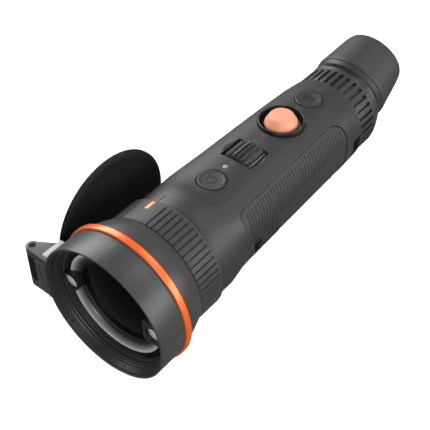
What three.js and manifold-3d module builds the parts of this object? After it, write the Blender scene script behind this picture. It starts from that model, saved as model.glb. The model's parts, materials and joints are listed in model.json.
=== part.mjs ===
// Hand-held thermal imaging monocular, in millimetres.
// While it is being put together, the optical axis is the Y axis, the hood's front rim lies in the
// plane y = 0, the eye is at +Y and the keys are on top (+Z). The last lines move the finished
// device so that the centre of its footprint is the origin and its lowest point is at z = 0.
import * as THREE from "three";
import { mergeVertices } from "three/addons/utils/BufferGeometryUtils.js";
import Module from "manifold-3d";

const wasm = await Module();
wasm.setup();

// ---- driving dimensions -------------------------------------------------------------------------

const gap = 0.3; // between pieces that touch, press or screw together
const runningGap = 0.2; // round a shaft, key or slide that moves

const hood = {
  radius: 36.0,
  lip: 1.1, // thickness of the front lip
  recess: 11.3, // depth of the front recess
  ringFront: 15.5, // where the coloured ring starts
  shoulder: 28.0, // where the outer cone becomes steeper
  taper: 3.0, // how much the shoulder is smaller than the rim
  back: 32.6,
  backTaper: 4.6,
};
const ring = { width: 3.5, radius: hood.radius + 1.0, depth: 2.1 };
const lens = { radius: 25.0, edge: 5.4, frontCurve: 72, backCurve: 120, bezel: 1.1 };
const rangefinder = { offset: 25.4, front: 5.6, windowRadius: 3.8, receiverSize: 12 };

const barrel = { radius: 27.2, wall: 2.6, front: 20.8, back: 59.6, flangeRadius: 28.2, flange: 1.8 };
const focus = { front: 33.2, width: 16.0, radius: 31.0, grooves: 60, grooveWidth: 0.8, grooveDepth: 0.8 };
const mark = { angle: -17, span: 26, width: 3.0, length: 6.5 }; // degrees from the top, towards -X
const cell = { width: 12, travel: 4, lensRadius: 19.5 };

const hinge = {
  x: -hood.radius - 10.3,
  y: 3.8,
  pinRadius: 1.5,
  knuckle: 3.3,
  half: 12.5,
  ear: 4.0,
  saddle: 1.7,
  depth: 12.5,
};
const cover = { thickness: 3.0, clearance: 0.9, radius: hood.radius, armHalf: 8.0 };

// The tripod socket stands in front of the battery, and the battery's length sets the body's.
const tripod = { y: 86, pad: 9.0, below: 1.9, insert: 4.6, bore: 3.0, depth: 9.0, wall: 1.7 };
const battery = { length: 65, radius: 9.1, z: -8.6 };
const batteryFront = tripod.y + tripod.insert + tripod.wall + 2 * gap;
const batteryBack = batteryFront + battery.length;

// Cross-sections of the body: y, half width, top, bottom, and the superellipse's power.
const sections = [
  [49.6, 29.5, 29.5, -29.5, 2.0],
  [61.0, 29.5, 29.5, -29.5, 2.0],
  [65.0, 29.1, 28.4, -26.8, 2.1],
  [70.0, 28.5, 26.9, -23.0, 2.3],
  [76.0, 28.1, 26.3, -21.4, 2.5],
  [batteryFront + 0.1 * battery.length, 27.0, 26.3, -22.4, 2.5],
  [batteryFront + 0.5 * battery.length, 26.2, 26.3, -22.7, 2.5],
  [batteryBack - 8.2, 25.5, 26.3, -22.9, 2.45],
  [batteryBack + 9.8, 25.2, 26.2, -23.2, 2.3],
  [batteryBack + 20.6, 24.9, 26.0, -23.9, 2.1],
];
const bodyFront = sections[0][0];
const bodyBack = sections[sections.length - 1][0];
const sectionPoints = 28;
const cavityPoints = 20; // the hollow inside the shells is plainer
const wall = 3.0;
const seam = -12.0; // height of the joint between the two body shells
const panel = { thickness: 1.2, front: 72.5, back: bodyBack - 16, top: 20.6, bottom: -14.0, corner: 11 };

const key = { radius: 7.3, travel: 0.5, proud: 0.35, flange: 1.1, powerY: 78.9, captureY: bodyBack - 17.7 };
const light = { x: -1.0, y: 90.8, radius: 0.9 };
const wheel = {
  y: 104.8,
  width: 14.6,
  radius: 10.5,
  proud: 2.4,
  ribs: 24,
  ribDepth: 0.8,
  axle: 1.5,
  side: 0.6,
  pocket: 14.0,
};
const stick = {
  y: bodyBack - 42.5,
  bezel: 12.2,
  rim: 1.6,
  well: 10.3,
  floor: 1.4,
  cap: 8.8,
  height: 4.8,
  stem: 1.8,
  stemHole: 6.0,
  travel: 0.6,
};

const strap = { height: 9.5, width: 7.4, depth: 5.2, back: 1.2, bar: 0.95 };
const strapPlaces = { front: { y: 79.6, z: -3.2 }, rear: { y: bodyBack - 4.9, z: -0.6 } };
const screw = {
  x: 17.8,
  ys: [tripod.y + 6, bodyBack - 20.5],
  head: 2.4,
  headHeight: 1.6,
  shank: 1.1,
  post: 3.2,
  reach: 8,
};
const board = { thickness: 1.2, lift: 1.5 };
const usb = { y: batteryBack + 8.0, half: 7.0, length: 11.0, flap: 1.2, shell: [8.9, 3.2, 7.3] };

const neck = {
  front: bodyBack + 0.4,
  radius: 24.6,
  slots: 36,
  slotWidth: 1.3,
  slotDepth: 0.9,
  slotBack: bodyBack + 12.9,
  wall: 2.4,
};
const eye = {
  y: bodyBack + 22.1,
  z: 7.7,
  pitch: 16.5,
  tube: 17.0,
  tubeWall: 1.7,
  tubeBack: 21.0,
  tubeFront: -9.0,
};
const diopter = { frontRadius: 20.9, radius: 21.9, width: 2.8, seat: 19.8, seatBack: 9.0 };
const cup = { length: 25.4, rimRadius: 18.2, lip: 16.0, base: 22.0 };
const eyeLens = { wall: 1.6, front: -6.0, length: 25.5, thickness: 5.0 };

const fine = 28; // sides of the large rings
const coarse = 20; // sides of the small round pieces

// ---- materials ----------------------------------------------------------------------------------

function material(color, roughness, metalness = 0) {
  return new THREE.MeshStandardMaterial({ color, roughness, metalness });
}
const softBlack = material(0x3a3b3d, 0.62);
const hoodGrey = material(0x48494b, 0.45);
const deepBlack = material(0x141416, 0.7);
const rubberGrey = material(0x2c2d2f, 0.8);
const orange = material(0xff6a22, 0.4);
const stickOrange = material(0xf58a62, 0.45);
const anodised = material(0x232427, 0.35, 0.8);
const steel = material(0xb4b6ba, 0.3, 1);
const brass = material(0xb9924a, 0.35, 1);
const germanium = material(0x20242c, 0.08, 0.4);
const glass = material(0x9fb4c8, 0.05);
const boardGreen = material(0x14512f, 0.55);
const batteryBlue = material(0x2f5f9c, 0.4);
const panelDark = material(0x0c0d12, 0.15);
const lampGrey = material(0x8d9094, 0.4);

// ---- making and joining solids ------------------------------------------------------------------

function solidOf(geometry) {
  const bare = new THREE.BufferGeometry();
  bare.setAttribute("position", geometry.getAttribute("position"));
  bare.setIndex(geometry.getIndex());
  const merged = mergeVertices(bare, 1e-5);
  const corners = merged.getIndex().array;
  const kept = [];
  for (let i = 0; i < corners.length; i += 3) {
    const [a, b, c] = corners.slice(i, i + 3);
    if (a !== b && b !== c && c !== a) kept.push(a, b, c);
  }
  const vertProperties = new Float32Array(merged.getAttribute("position").array);
  const triVerts = new Uint32Array(kept);
  if (signedVolume(vertProperties, triVerts) < 0) triVerts.reverse();
  return new wasm.Manifold(new wasm.Mesh({ numProp: 3, vertProperties, triVerts }));
}

function signedVolume(points, corners) {
  const at = (i) => new THREE.Vector3().fromArray(points, 3 * i);
  let sum = 0;
  for (let i = 0; i < corners.length; i += 3) {
    sum += at(corners[i]).dot(at(corners[i + 1]).cross(at(corners[i + 2])));
  }
  return sum;
}

function geometryOf(solid) {
  const made = solid.getMesh();
  const geometry = new THREE.BufferGeometry();
  geometry.setAttribute("position", new THREE.BufferAttribute(made.vertProperties, 3));
  geometry.setIndex(new THREE.BufferAttribute(made.triVerts, 1));
  geometry.computeVertexNormals();
  return geometry;
}

function cut(solid, ...tools) {
  return tools.reduce((left, tool) => left.subtract(tool), solid);
}

function join(solid, ...others) {
  return others.reduce((whole, other) => whole.add(other), solid);
}

// A body of revolution about the Y axis from [radius, y] points, closed on itself or on the axis.
function turned(points, sides = fine) {
  const outline = points.map(([r, y]) => new THREE.Vector2(r, y));
  if (points[0][0] > 0) outline.push(outline[0].clone());
  return solidOf(new THREE.LatheGeometry(outline, sides));
}

// The same about the Z axis, from [radius, z] points, standing at x, y.
function upright(points, x, y, sides = coarse) {
  const outline = points.map(([r, z]) => new THREE.Vector2(r, z));
  if (points[0][0] > 0) outline.push(outline[0].clone());
  const geometry = new THREE.LatheGeometry(outline, sides);
  geometry.rotateX(Math.PI / 2);
  geometry.translate(x, y, 0);
  return solidOf(geometry);
}

function post(radius, low, high, x, y, sides = coarse) {
  return upright([[0, low], [radius, low], [radius, high], [0, high]], x, y, sides);
}

function tube(radius, from, to, sides = fine) {
  return turned([[0, from], [radius, from], [radius, to], [0, to]], sides);
}

function block(x0, x1, y0, y1, z0, z1) {
  const geometry = new THREE.BoxGeometry(x1 - x0, y1 - y0, z1 - z0);
  geometry.translate((x0 + x1) / 2, (y0 + y1) / 2, (z0 + z1) / 2);
  return solidOf(geometry);
}

// A closed skin over loops of points that have the same count.
function loft(loops) {
  const count = loops[0].length;
  const points = loops.flat();
  const ends = [loops[0], loops[loops.length - 1]].map((loop) => {
    const middle = new THREE.Vector3();
    loop.forEach((p) => middle.add(p));
    return middle.divideScalar(count);
  });
  const index = [];
  for (let k = 0; k + 1 < loops.length; k += 1) {
    for (let i = 0; i < count; i += 1) {
      const a = k * count + i;
      const b = k * count + ((i + 1) % count);
      index.push(a, b, b + count, a, b + count, a + count);
    }
  }
  const first = points.length;
  const last = (loops.length - 1) * count;
  for (let i = 0; i < count; i += 1) {
    const next = (i + 1) % count;
    index.push(first, next, i, first + 1, last + i, last + next);
  }
  const geometry = new THREE.BufferGeometry().setFromPoints([...points, ...ends]);
  geometry.setIndex(index);
  return solidOf(geometry);
}

// An outline in the X-Y plane pushed up from z0 to z1.
function plate(shape, z0, z1) {
  const settings = { depth: z1 - z0, bevelEnabled: false, curveSegments: 8 };
  const geometry = new THREE.ExtrudeGeometry(shape, settings);
  geometry.translate(0, 0, z0);
  return solidOf(geometry);
}

const device = new THREE.Group();
function place(name, solid, look, parent = device) {
  const mesh = new THREE.Mesh(geometryOf(solid), look);
  mesh.name = name;
  parent.add(mesh);
}

// ---- the body's outline, shared by the shells, panels and rear housing ----------------------------

function sectionAt(y) {
  let k = 0;
  while (k < sections.length - 2 && y > sections[k + 1][0]) k += 1;
  const share = (y - sections[k][0]) / (sections[k + 1][0] - sections[k][0]);
  return sections[k].map((value, i) => value + share * (sections[k + 1][i] - value));
}

function bodyLoop(y, inset, count) {
  const [, half, top, bottom, power] = sectionAt(y);
  const middle = (top + bottom) / 2;
  const height = (top - bottom) / 2 - inset;
  const round = (value) => Math.sign(value) * Math.abs(value) ** (2 / power);
  return Array.from({ length: count }, (_, i) => {
    const turn = (2 * Math.PI * i) / count;
    const across = (half - inset) * round(Math.cos(turn));
    return new THREE.Vector3(across, y, middle + height * round(Math.sin(turn)));
  });
}

function bodySolid(inset, from, to, count = sectionPoints) {
  const between = sections.map((s) => s[0]).filter((y) => y > from + 0.5 && y < to - 0.5);
  return loft([from, ...between, to].map((y) => bodyLoop(y, inset, count)));
}

function sideAt(y, z) {
  const [, half, top, bottom, power] = sectionAt(y);
  const share = Math.abs(z - (top + bottom) / 2) / ((top - bottom) / 2);
  return half * (1 - share ** power) ** (1 / power);
}

const bodyTop = sectionAt(stick.y)[2];

// ---- objective ------------------------------------------------------------------------------------

const lensFront = hood.recess;
const lensSeat = lensFront + lens.edge + gap;
const hoodInner = hood.radius - hood.lip;
const ringSeat = ring.radius - ring.depth - gap;
const barrelBore = barrel.radius + gap;
place("objective_hood", turned([
  [hoodInner, 0],
  [hood.radius - 0.4, 0],
  [hood.radius, 0.4],
  [hood.radius, hood.ringFront - gap],
  [ringSeat, hood.ringFront - gap],
  [ringSeat, hood.ringFront + ring.width + gap],
  [hood.radius - 0.4, hood.ringFront + ring.width + gap],
  [hood.radius - hood.taper, hood.shoulder],
  [hood.radius - hood.backTaper, hood.back],
  [barrelBore, hood.back],
  [barrelBore, barrel.front - gap],
  [lens.radius - 1, barrel.front - gap],
  [lens.radius - 1, lensSeat],
  [lens.radius + gap, lensSeat],
  [lens.radius + gap, hood.recess],
  [hoodInner, hood.recess],
]), hoodGrey);

place("accent_ring", turned([
  [ring.radius - ring.depth, hood.ringFront],
  [ring.radius - 0.3, hood.ringFront],
  [ring.radius, hood.ringFront + 0.3],
  [ring.radius, hood.ringFront + ring.width - 0.3],
  [ring.radius - 0.3, hood.ringFront + ring.width],
  [ring.radius - ring.depth, hood.ringFront + ring.width],
]), orange);

const linerOuter = hoodInner - gap;
const linerBack = hood.recess - gap;
const linerInner = linerOuter - 3.8;
place("hood_liner", turned([
  [linerOuter, 0.6],
  [linerOuter, linerBack],
  [linerInner, linerBack],
  [linerInner, linerBack - 3.6],
  [linerInner + 1.2, linerBack - 3.6],
  [linerInner + 1.8, linerBack - 7.2],
  [linerInner + 2.7, linerBack - 7.2],
  [linerOuter - 0.5, 0.6],
]), softBlack);

const bezelFront = hood.recess - gap - 0.8;
place("lens_retaining_ring", turned([
  [lens.radius - lens.bezel, bezelFront],
  [linerInner - gap, bezelFront],
  [linerInner - gap, hood.recess - gap],
  [lens.radius - lens.bezel + 0.4, hood.recess - gap],
]), anodised);

// How far a spherical face stands out, at radius r, from the plane of its edge.
function bulge(curve, edgeRadius, r) {
  return Math.sqrt(curve ** 2 - r ** 2) - Math.sqrt(curve ** 2 - edgeRadius ** 2);
}

// A lens between two spherical faces: front and back bulge by their curves towards -Y.
function lensSolid(radius, front, edge, frontCurve, backCurve, sides = 28) {
  const steps = 2;
  const face = (curve, y) => Array.from({ length: steps + 1 }, (_, i) => {
    const r = (radius * i) / steps;
    return [r, y - Math.sign(curve) * bulge(Math.abs(curve), radius, r)];
  });
  return turned([...face(frontCurve, front), ...face(backCurve, front + edge).reverse()], sides);
}
place(
  "objective_front_lens",
  lensSolid(lens.radius, lensFront, lens.edge, lens.frontCurve, lens.backCurve),
  germanium,
);

// A short rod along the optical axis, set to one side of it: a window, its pocket or a round housing.
function rangefinderRod(side, radius, length, middle) {
  const geometry = new THREE.CylinderGeometry(radius, radius, length, coarse);
  geometry.translate(side * rangefinder.offset, middle, 0);
  return solidOf(geometry);
}
function rangefinderWindow(side) {
  return rangefinderRod(side, rangefinder.windowRadius, 2.4, rangefinder.front + 1.9);
}
function rangefinderPocket(side) {
  return rangefinderRod(side, rangefinder.windowRadius + gap, 3.6, rangefinder.front + 1.6);
}
const receiverHalf = rangefinder.receiverSize / 2;
const lensUnderHousing = lensFront - bulge(lens.frontCurve, lens.radius, rangefinder.offset - receiverHalf);
const pocketBack = Math.min(bezelFront, lensUnderHousing) - gap;
const housingReach = Math.min(rangefinder.offset + 5.2, linerInner - gap);
const emitterRadius = housingReach - rangefinder.offset;
const emitterMiddle = (pocketBack + rangefinder.front) / 2;
const emitter = rangefinderRod(-1, emitterRadius, pocketBack - rangefinder.front, emitterMiddle);
place("rangefinder_emitter_housing", cut(emitter, rangefinderPocket(-1)), deepBlack);
place("rangefinder_emitter_window", rangefinderWindow(-1), glass);
const receiver = block(
  rangefinder.offset - receiverHalf, rangefinder.offset + receiverHalf,
  rangefinder.front, pocketBack, -receiverHalf, receiverHalf,
).intersect(tube(linerInner - gap, 0, hood.recess));
place("rangefinder_receiver_housing", cut(receiver, rangefinderPocket(1)), deepBlack);
place("rangefinder_receiver_window", rangefinderWindow(1), glass);

// ---- lens cover and its hinge ---------------------------------------------------------------------

const saddleOuter = hood.radius + gap + hinge.saddle;
const saddle = cut(tube(saddleOuter, 0, hinge.depth), tube(hood.radius + gap, -1, hinge.depth + 1));
const earShape = new THREE.Shape();
earShape.moveTo(-hood.radius + 4, 0.3);
earShape.lineTo(-hood.radius + 4, hinge.depth);
earShape.lineTo(-saddleOuter, hinge.depth);
earShape.lineTo(hinge.x, hinge.y + hinge.knuckle);
earShape.absarc(hinge.x, hinge.y, hinge.knuckle, Math.PI / 2, 1.5 * Math.PI, false);
earShape.lineTo(-hood.radius + 4, 0.3);
const earLow = hinge.half - hinge.ear;
const pinHole = post(hinge.pinRadius + runningGap, -hinge.half - 1, hinge.half + 1, hinge.x, hinge.y);
const ears = join(plate(earShape, earLow, hinge.half), plate(earShape, -hinge.half, -earLow));
const bracketBox = block(hinge.x - 8, -hood.radius + 9, -1, hinge.depth + 1, -hinge.half, hinge.half);
place("cover_hinge_bracket", cut(
  join(saddle.intersect(bracketBox), ears),
  tube(hood.radius + gap, -1, hinge.depth + 1),
  pinHole,
), hoodGrey);
place("cover_hinge_pin", post(hinge.pinRadius, -hinge.half + 0.6, hinge.half - 0.6, hinge.x, hinge.y), steel);

// The cover stands open, swung back along the hood, and turns 270 degrees about the pin to close.
const coverInner = hinge.x + hinge.y + cover.clearance;
const coverOuter = coverInner + cover.thickness;
const coverY = hinge.y - hinge.x;
const disc = new THREE.LatheGeometry([
  [0, coverInner + 0.8],
  [cover.radius - 3.2, coverInner + 0.8],
  [cover.radius - 2.6, coverInner],
  [cover.radius - 0.5, coverInner],
  [cover.radius, coverInner + 0.6],
  [cover.radius, coverOuter - 1.0],
  [cover.radius - 1.2, coverOuter],
  [0, coverOuter],
].map(([r, x]) => new THREE.Vector2(r, x)), fine);
disc.rotateZ(-Math.PI / 2);
disc.translate(0, coverY, 0);
const armFront = hinge.y - 1.2;
const armBack = coverY - cover.radius + 6;
const arm = block(coverInner, coverOuter - 0.3, armFront, armBack, -cover.armHalf, cover.armHalf);
const web = block(hinge.x, coverInner + 1, hinge.y - 1.1, hinge.y + 1.8, -cover.armHalf, cover.armHalf);
const knuckle = post(hinge.knuckle, -cover.armHalf, cover.armHalf, hinge.x, hinge.y);
place("lens_cover", cut(join(solidOf(disc), arm, web, knuckle), pinHole), deepBlack);

// ---- focusing barrel ------------------------------------------------------------------------------

const flangeY = barrel.back - 4.2;
const driveHalf = cell.travel + 1.8;
const cellY = focus.front + focus.width / 2 + 0.8;
const barrelInner = barrel.radius - barrel.wall;
const barrelTube = turned([
  [barrelInner, barrel.front],
  [barrel.radius, barrel.front],
  [barrel.radius, flangeY],
  [barrel.flangeRadius, flangeY],
  [barrel.flangeRadius, flangeY + barrel.flange],
  [barrel.radius, flangeY + barrel.flange],
  [barrel.radius, barrel.back],
  [barrelInner, barrel.back],
]);
const driveSlot = block(-1.5, 1.5, cellY - driveHalf, cellY + driveHalf, barrelInner - 2, barrel.radius + 2);
place("objective_barrel", cut(barrelTube, driveSlot), anodised);

// The focus ring is ribbed all round, except for a smooth patch under the index mark.
const ringOutline = new THREE.Shape();
const markTurn = THREE.MathUtils.degToRad(90 - mark.angle);
const smoothHalf = THREE.MathUtils.degToRad(mark.span / 2);
const grooveHalf = focus.grooveWidth / 2 / focus.radius;
const ringPoint = (radius, turn) => new THREE.Vector2(radius * Math.cos(turn), radius * Math.sin(turn));
for (let i = 0; i < focus.grooves; i += 1) {
  const turn = markTurn + (2 * Math.PI * (i + 0.5)) / focus.grooves;
  const away = Math.abs(Math.atan2(Math.sin(turn - markTurn), Math.cos(turn - markTurn)));
  const floor = away < smoothHalf ? focus.radius : focus.radius - focus.grooveDepth;
  const corners = [
    ringPoint(focus.radius, turn - grooveHalf),
    ringPoint(floor, turn - grooveHalf * 0.7),
    ringPoint(floor, turn + grooveHalf * 0.7),
    ringPoint(focus.radius, turn + grooveHalf),
  ];
  corners.forEach((p, k) => (i + k === 0 ? ringOutline.moveTo(p.x, p.y) : ringOutline.lineTo(p.x, p.y)));
}
const ringBody = new THREE.ExtrudeGeometry(ringOutline, { depth: focus.width, bevelEnabled: false });
ringBody.rotateX(Math.PI / 2);
ringBody.scale(-1, 1, 1);
ringBody.translate(0, focus.front + focus.width, 0);
const markBack = focus.front + focus.width - 0.6;
function markSolid(extra, low, high) {
  const half = mark.width / 2 + extra;
  const made = new THREE.BoxGeometry(2 * half, mark.length + 2 * extra, high - low);
  made.translate(0, markBack - mark.length / 2, (low + high) / 2);
  made.rotateY(THREE.MathUtils.degToRad(mark.angle));
  return solidOf(made);
}
place("focus_ring", cut(
  solidOf(ringBody),
  tube(barrelBore, 0, barrel.back),
  markSolid(gap, focus.radius - 1.2, focus.radius + 2),
), rubberGrey);
place("focus_index_mark", markSolid(0, focus.radius - 0.9, focus.radius + 0.05), orange);

const cellRadius = barrelInner - runningGap;
const cellFront = cellY - cell.width / 2;
const cellBody = turned([
  [cell.lensRadius - 1.2, cellFront],
  [cellRadius, cellFront],
  [cellRadius, cellFront + cell.width],
  [cell.lensRadius + gap, cellFront + cell.width],
  [cell.lensRadius + gap, cellFront + 2.4],
  [cell.lensRadius - 1.2, cellFront + 2.4],
], 32);
const driveHole = post(1.2 + gap, cell.lensRadius + 1.4, cellRadius + 3, 0, cellY, 12);
place("focusing_cell", cut(cellBody, driveHole), anodised);
place("focus_drive_pin", post(1.2, cell.lensRadius + 1.7, barrel.radius + 0.1, 0, cellY, 12), steel);
place("focusing_lens", lensSolid(cell.lensRadius, cellFront + 3.3, 4.5, 60, -90), germanium);

// ---- body shells ----------------------------------------------------------------------------------

// Each strap slot is a pocket with a bar standing in it, backed by a box inside the shell.
const sides = { right: 1, left: -1 };
const strapSlots = Object.entries(strapPlaces).flatMap(([end, at]) => (
  Object.entries(sides).map(([side, sign]) => (
    { name: `${end}_${side}`, sign, surface: sideAt(at.y, at.z), ...at }
  ))
));
function strapBox(slot, grow, deep, reach = 4) {
  const inner = slot.sign * (slot.surface - deep);
  const outer = slot.sign * (slot.surface + reach);
  const halfY = strap.width / 2 + grow;
  const halfZ = strap.height / 2 + grow;
  const [x0, x1] = [Math.min(inner, outer), Math.max(inner, outer)];
  return block(x0, x1, slot.y - halfY, slot.y + halfY, slot.z - halfZ, slot.z + halfZ);
}
const strapBacks = strapSlots.map((slot) => strapBox(slot, strap.back, strap.depth + strap.back));
const strapPockets = strapSlots.map((slot) => strapBox(slot, 0, strap.depth));
const barHalf = strap.height / 2 + 1.6;
const barX = (slot) => slot.sign * (slot.surface - panel.thickness - 2 * gap - strap.bar);
const barHoles = strapSlots.map((slot) => (
  post(strap.bar + gap, slot.z - barHalf - gap, slot.z + barHalf + gap, barX(slot), slot.y, 12)
));

// The grip panels lie in a recess on each side, under one side outline.
function panelOutline(grow) {
  const [front, back] = [panel.front - grow, panel.back + grow];
  const [top, bottom, corner] = [panel.top + grow, panel.bottom - grow, panel.corner];
  const shape = new THREE.Shape();
  shape.moveTo(front, bottom);
  shape.lineTo(back - corner / 2, bottom);
  shape.quadraticCurveTo(back, bottom, back, bottom + corner / 2);
  shape.lineTo(back, top - corner);
  shape.quadraticCurveTo(back, top, back - corner, top);
  shape.lineTo(front + 4, top);
  shape.quadraticCurveTo(front, top, front, top - 4);
  return shape;
}
function sideSolid(grow, sign) {
  const settings = { depth: 30, bevelEnabled: false, curveSegments: 4 };
  const geometry = new THREE.ExtrudeGeometry(panelOutline(grow), settings);
  geometry.translate(0, 0, 10);
  // outline x -> Y, outline y -> Z, depth -> X
  geometry.applyMatrix4(new THREE.Matrix4().set(0, 0, sign, 0, 1, 0, 0, 0, 0, 1, 0, 0, 0, 0, 0, 1));
  return solidOf(geometry);
}
const panelFrom = panel.front - 3;
const panelTo = panel.back + 3;
// A band of the body's wall between two depths under its skin; a depth below 0 stands outside it.
function wallBand(outside, inside, from, to) {
  return cut(bodySolid(outside, from, to), bodySolid(inside, from - 1, to + 1));
}
const recessBand = wallBand(-2, panel.thickness + gap, panelFrom, panelTo);
const recesses = Object.values(sides).map((sign) => recessBand.intersect(sideSolid(gap, sign)));
const panelSkin = wallBand(0, panel.thickness, panelFrom, panelTo);

const collarBack = barrel.back + 1.6;
const cavity = join(
  bodySolid(wall, collarBack - 0.5, bodyBack + 1, cavityPoints),
  tube(barrelBore, bodyFront - 1, collarBack),
  tube(barrel.flangeRadius + gap, flangeY - gap, flangeY + barrel.flange + gap),
);
const screwSpots = Object.values(sides).flatMap((sign) => screw.ys.map((y) => [sign * screw.x, y]));
const posts = screwSpots.map(([x, y]) => post(screw.post, -bodyTop, bodyTop, x, y, 12));
const withinBody = bodySolid(wall / 2, collarBack, bodyBack - 0.5, cavityPoints);
const shellSolid = join(
  cut(bodySolid(0, bodyFront, bodyBack), cavity),
  ...posts.map((p) => p.intersect(withinBody)),
  ...strapBacks.map((b) => b.intersect(withinBody)),
);
const screwShank = (x, y) => post(screw.shank + gap, -bodyTop, seam + screw.reach + 1, x, y, 12);
const bodyLow = sectionAt(screw.ys[0])[3];
const headSeat = seam - 3.2;
const screwHead = (x, y) => post(screw.head + gap, bodyLow - 4, headSeat, x, y, 12);
const screwHoles = screwSpots.flatMap(([x, y]) => [screwShank(x, y), screwHead(x, y)]);

const wheelZ = bodyTop + wheel.proud - wheel.radius;
const slotHalfY = wheel.width / 2 + 0.5;
const slotDeep = 2.2; // where the slot widens, under the skin
const slotHalf = Math.sqrt(wheel.radius ** 2 - (wheel.radius - wheel.proud - slotDeep) ** 2) + wheel.side;
const wheelSlotTo = (half, top) => block(-half, half, wheel.y - slotHalfY, wheel.y + slotHalfY, seam, top);
const wheelSlot = join(
  wheelSlotTo(slotHalf, bodyTop + 5),
  wheelSlotTo(wheel.radius + 0.5, bodyTop - slotDeep),
);
const thumbDish = new THREE.SphereGeometry(1, 16, 8);
thumbDish.scale(wheel.pocket, slotHalfY + 0.8, 2.6);
thumbDish.translate(0, wheel.y, bodyTop + 1.0);
const bored = cut(shellSolid, ...recesses, ...strapPockets, ...barHoles, ...screwHoles);
const aboveSeam = block(-60, 60, bodyFront - 1, bodyBack + 1, seam + gap / 2, 60);
const belowSeam = block(-60, 60, bodyFront - 1, bodyBack + 1, -60, seam - gap / 2);
place("upper_shell", cut(
  bored.intersect(aboveSeam),
  post(key.radius + gap, 0, bodyTop + 5, 0, key.powerY, 24),
  post(key.radius + gap, 0, bodyTop + 5, 0, key.captureY, 24),
  post(light.radius + gap, 0, bodyTop + 5, light.x, light.y, 12),
  post(stick.bezel + gap, 0, bodyTop + 5, 0, stick.y, 28),
  wheelSlot,
  solidOf(thumbDish),
), softBlack);

const padZ = sectionAt(tripod.y)[3] - tripod.below;
const insertTop = padZ + tripod.depth;
const tripodBoss = join(
  post(tripod.pad, padZ, padZ + tripod.below + wall, 0, tripod.y, 32),
  post(tripod.insert + gap + tripod.wall, padZ + 1, insertTop + gap + tripod.wall, 0, tripod.y, 24),
);
const usbFloor = sectionAt(usb.y)[3];
const flapFrom = usb.y - usb.length / 2;
const flapTo = usb.y + usb.length / 2;
const flapSeat = wallBand(-2, usb.flap + gap, flapFrom - 3, flapTo + 2);
const flapBox = (grow) => block(
  -usb.half - grow, usb.half + grow,
  flapFrom - grow, flapTo + grow,
  usbFloor - 5, usbFloor + 5,
);
const [usbWide, usbThick, usbDeep] = usb.shell;
const usbLow = usbFloor + usb.flap + 2 * gap;
const usbHole = block(
  -usbWide / 2 - gap, usbWide / 2 + gap,
  usb.y - usbThick / 2 - gap, usb.y + usbThick / 2 + gap,
  usbFloor - 3, usbFloor + wall + 3,
);
place("lower_shell", cut(
  join(bored.intersect(belowSeam), tripodBoss),
  post(tripod.insert + gap, padZ - 1, insertTop + gap, 0, tripod.y, 24),
  flapSeat.intersect(flapBox(gap)),
  usbHole,
), softBlack);

for (const [side, sign] of Object.entries(sides)) {
  place(`grip_panel_${side}`, cut(
    panelSkin.intersect(sideSolid(0, sign)),
    ...strapSlots.filter((slot) => slot.sign === sign).map((slot) => strapBox(slot, gap, strap.depth)),
    ...barHoles,
  ), rubberGrey);
}
for (const slot of strapSlots) {
  const bar = post(strap.bar, slot.z - barHalf, slot.z + barHalf, barX(slot), slot.y, 12);
  place(`strap_bar_${slot.name}`, bar, steel);
}
screwSpots.forEach(([x, y], i) => {
  place(`case_screw_${i + 1}`, upright([
    [0, headSeat - gap - screw.headHeight],
    [screw.head, headSeat - gap - screw.headHeight],
    [screw.head, headSeat - gap],
    [screw.shank, headSeat - gap],
    [screw.shank, seam + screw.reach],
    [0, seam + screw.reach],
  ], x, y, 16), steel);
});
place("tripod_insert", upright([
  [tripod.bore, padZ + 0.2],
  [tripod.insert, padZ + 0.2],
  [tripod.insert, insertTop],
  [tripod.bore, insertTop],
], 0, tripod.y), brass);
const flapSkin = wallBand(0, usb.flap, flapFrom - 3, flapTo + 2);
place("usb_port_cover", flapSkin.intersect(flapBox(0)), rubberGrey);
place("usb_connector", block(
  -usbWide / 2, usbWide / 2,
  usb.y - usbThick / 2, usb.y + usbThick / 2,
  usbLow, usbLow + usbDeep,
), steel);

// ---- sensor, boards and battery ---------------------------------------------------------------------

const sensorY = barrel.back + 5.5;
const shutterPlate = block(-15, 15, sensorY, sensorY + 2.2, -15, 15);
place("shutter", cut(shutterPlate, tube(9, sensorY - 1, sensorY + 4, 24)), anodised);
place("thermal_sensor", block(-10, 10, sensorY + 2.8, sensorY + 6.6, -10, 10), steel);
place("sensor_board", block(-16, 16, sensorY + 7.0, sensorY + 7.0 + board.thickness, -15, 16), boardGreen);
const batterySolid = tube(battery.radius, batteryFront, batteryBack, 28);
place("battery_cell", batterySolid.translate(0, 0, battery.z), batteryBlue);
const cheek = wheel.width / 2 + 1.6;
const cradleEnd = cheek + 2.2;
const cradleLow = wheelZ - wheel.radius - 2.1;
const mainBoardZ = battery.z + battery.radius + board.lift;
place("main_board", cut(
  block(-13, 13, sensorY + 12, bodyBack - 10, mainBoardZ, mainBoardZ + board.thickness),
  block(
    -5 - gap, 5 + gap,
    wheel.y - cradleEnd - gap, wheel.y + cradleEnd + gap,
    cradleLow - gap, wheelZ,
  ),
), boardGreen);

// ---- keys -------------------------------------------------------------------------------------------

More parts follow.
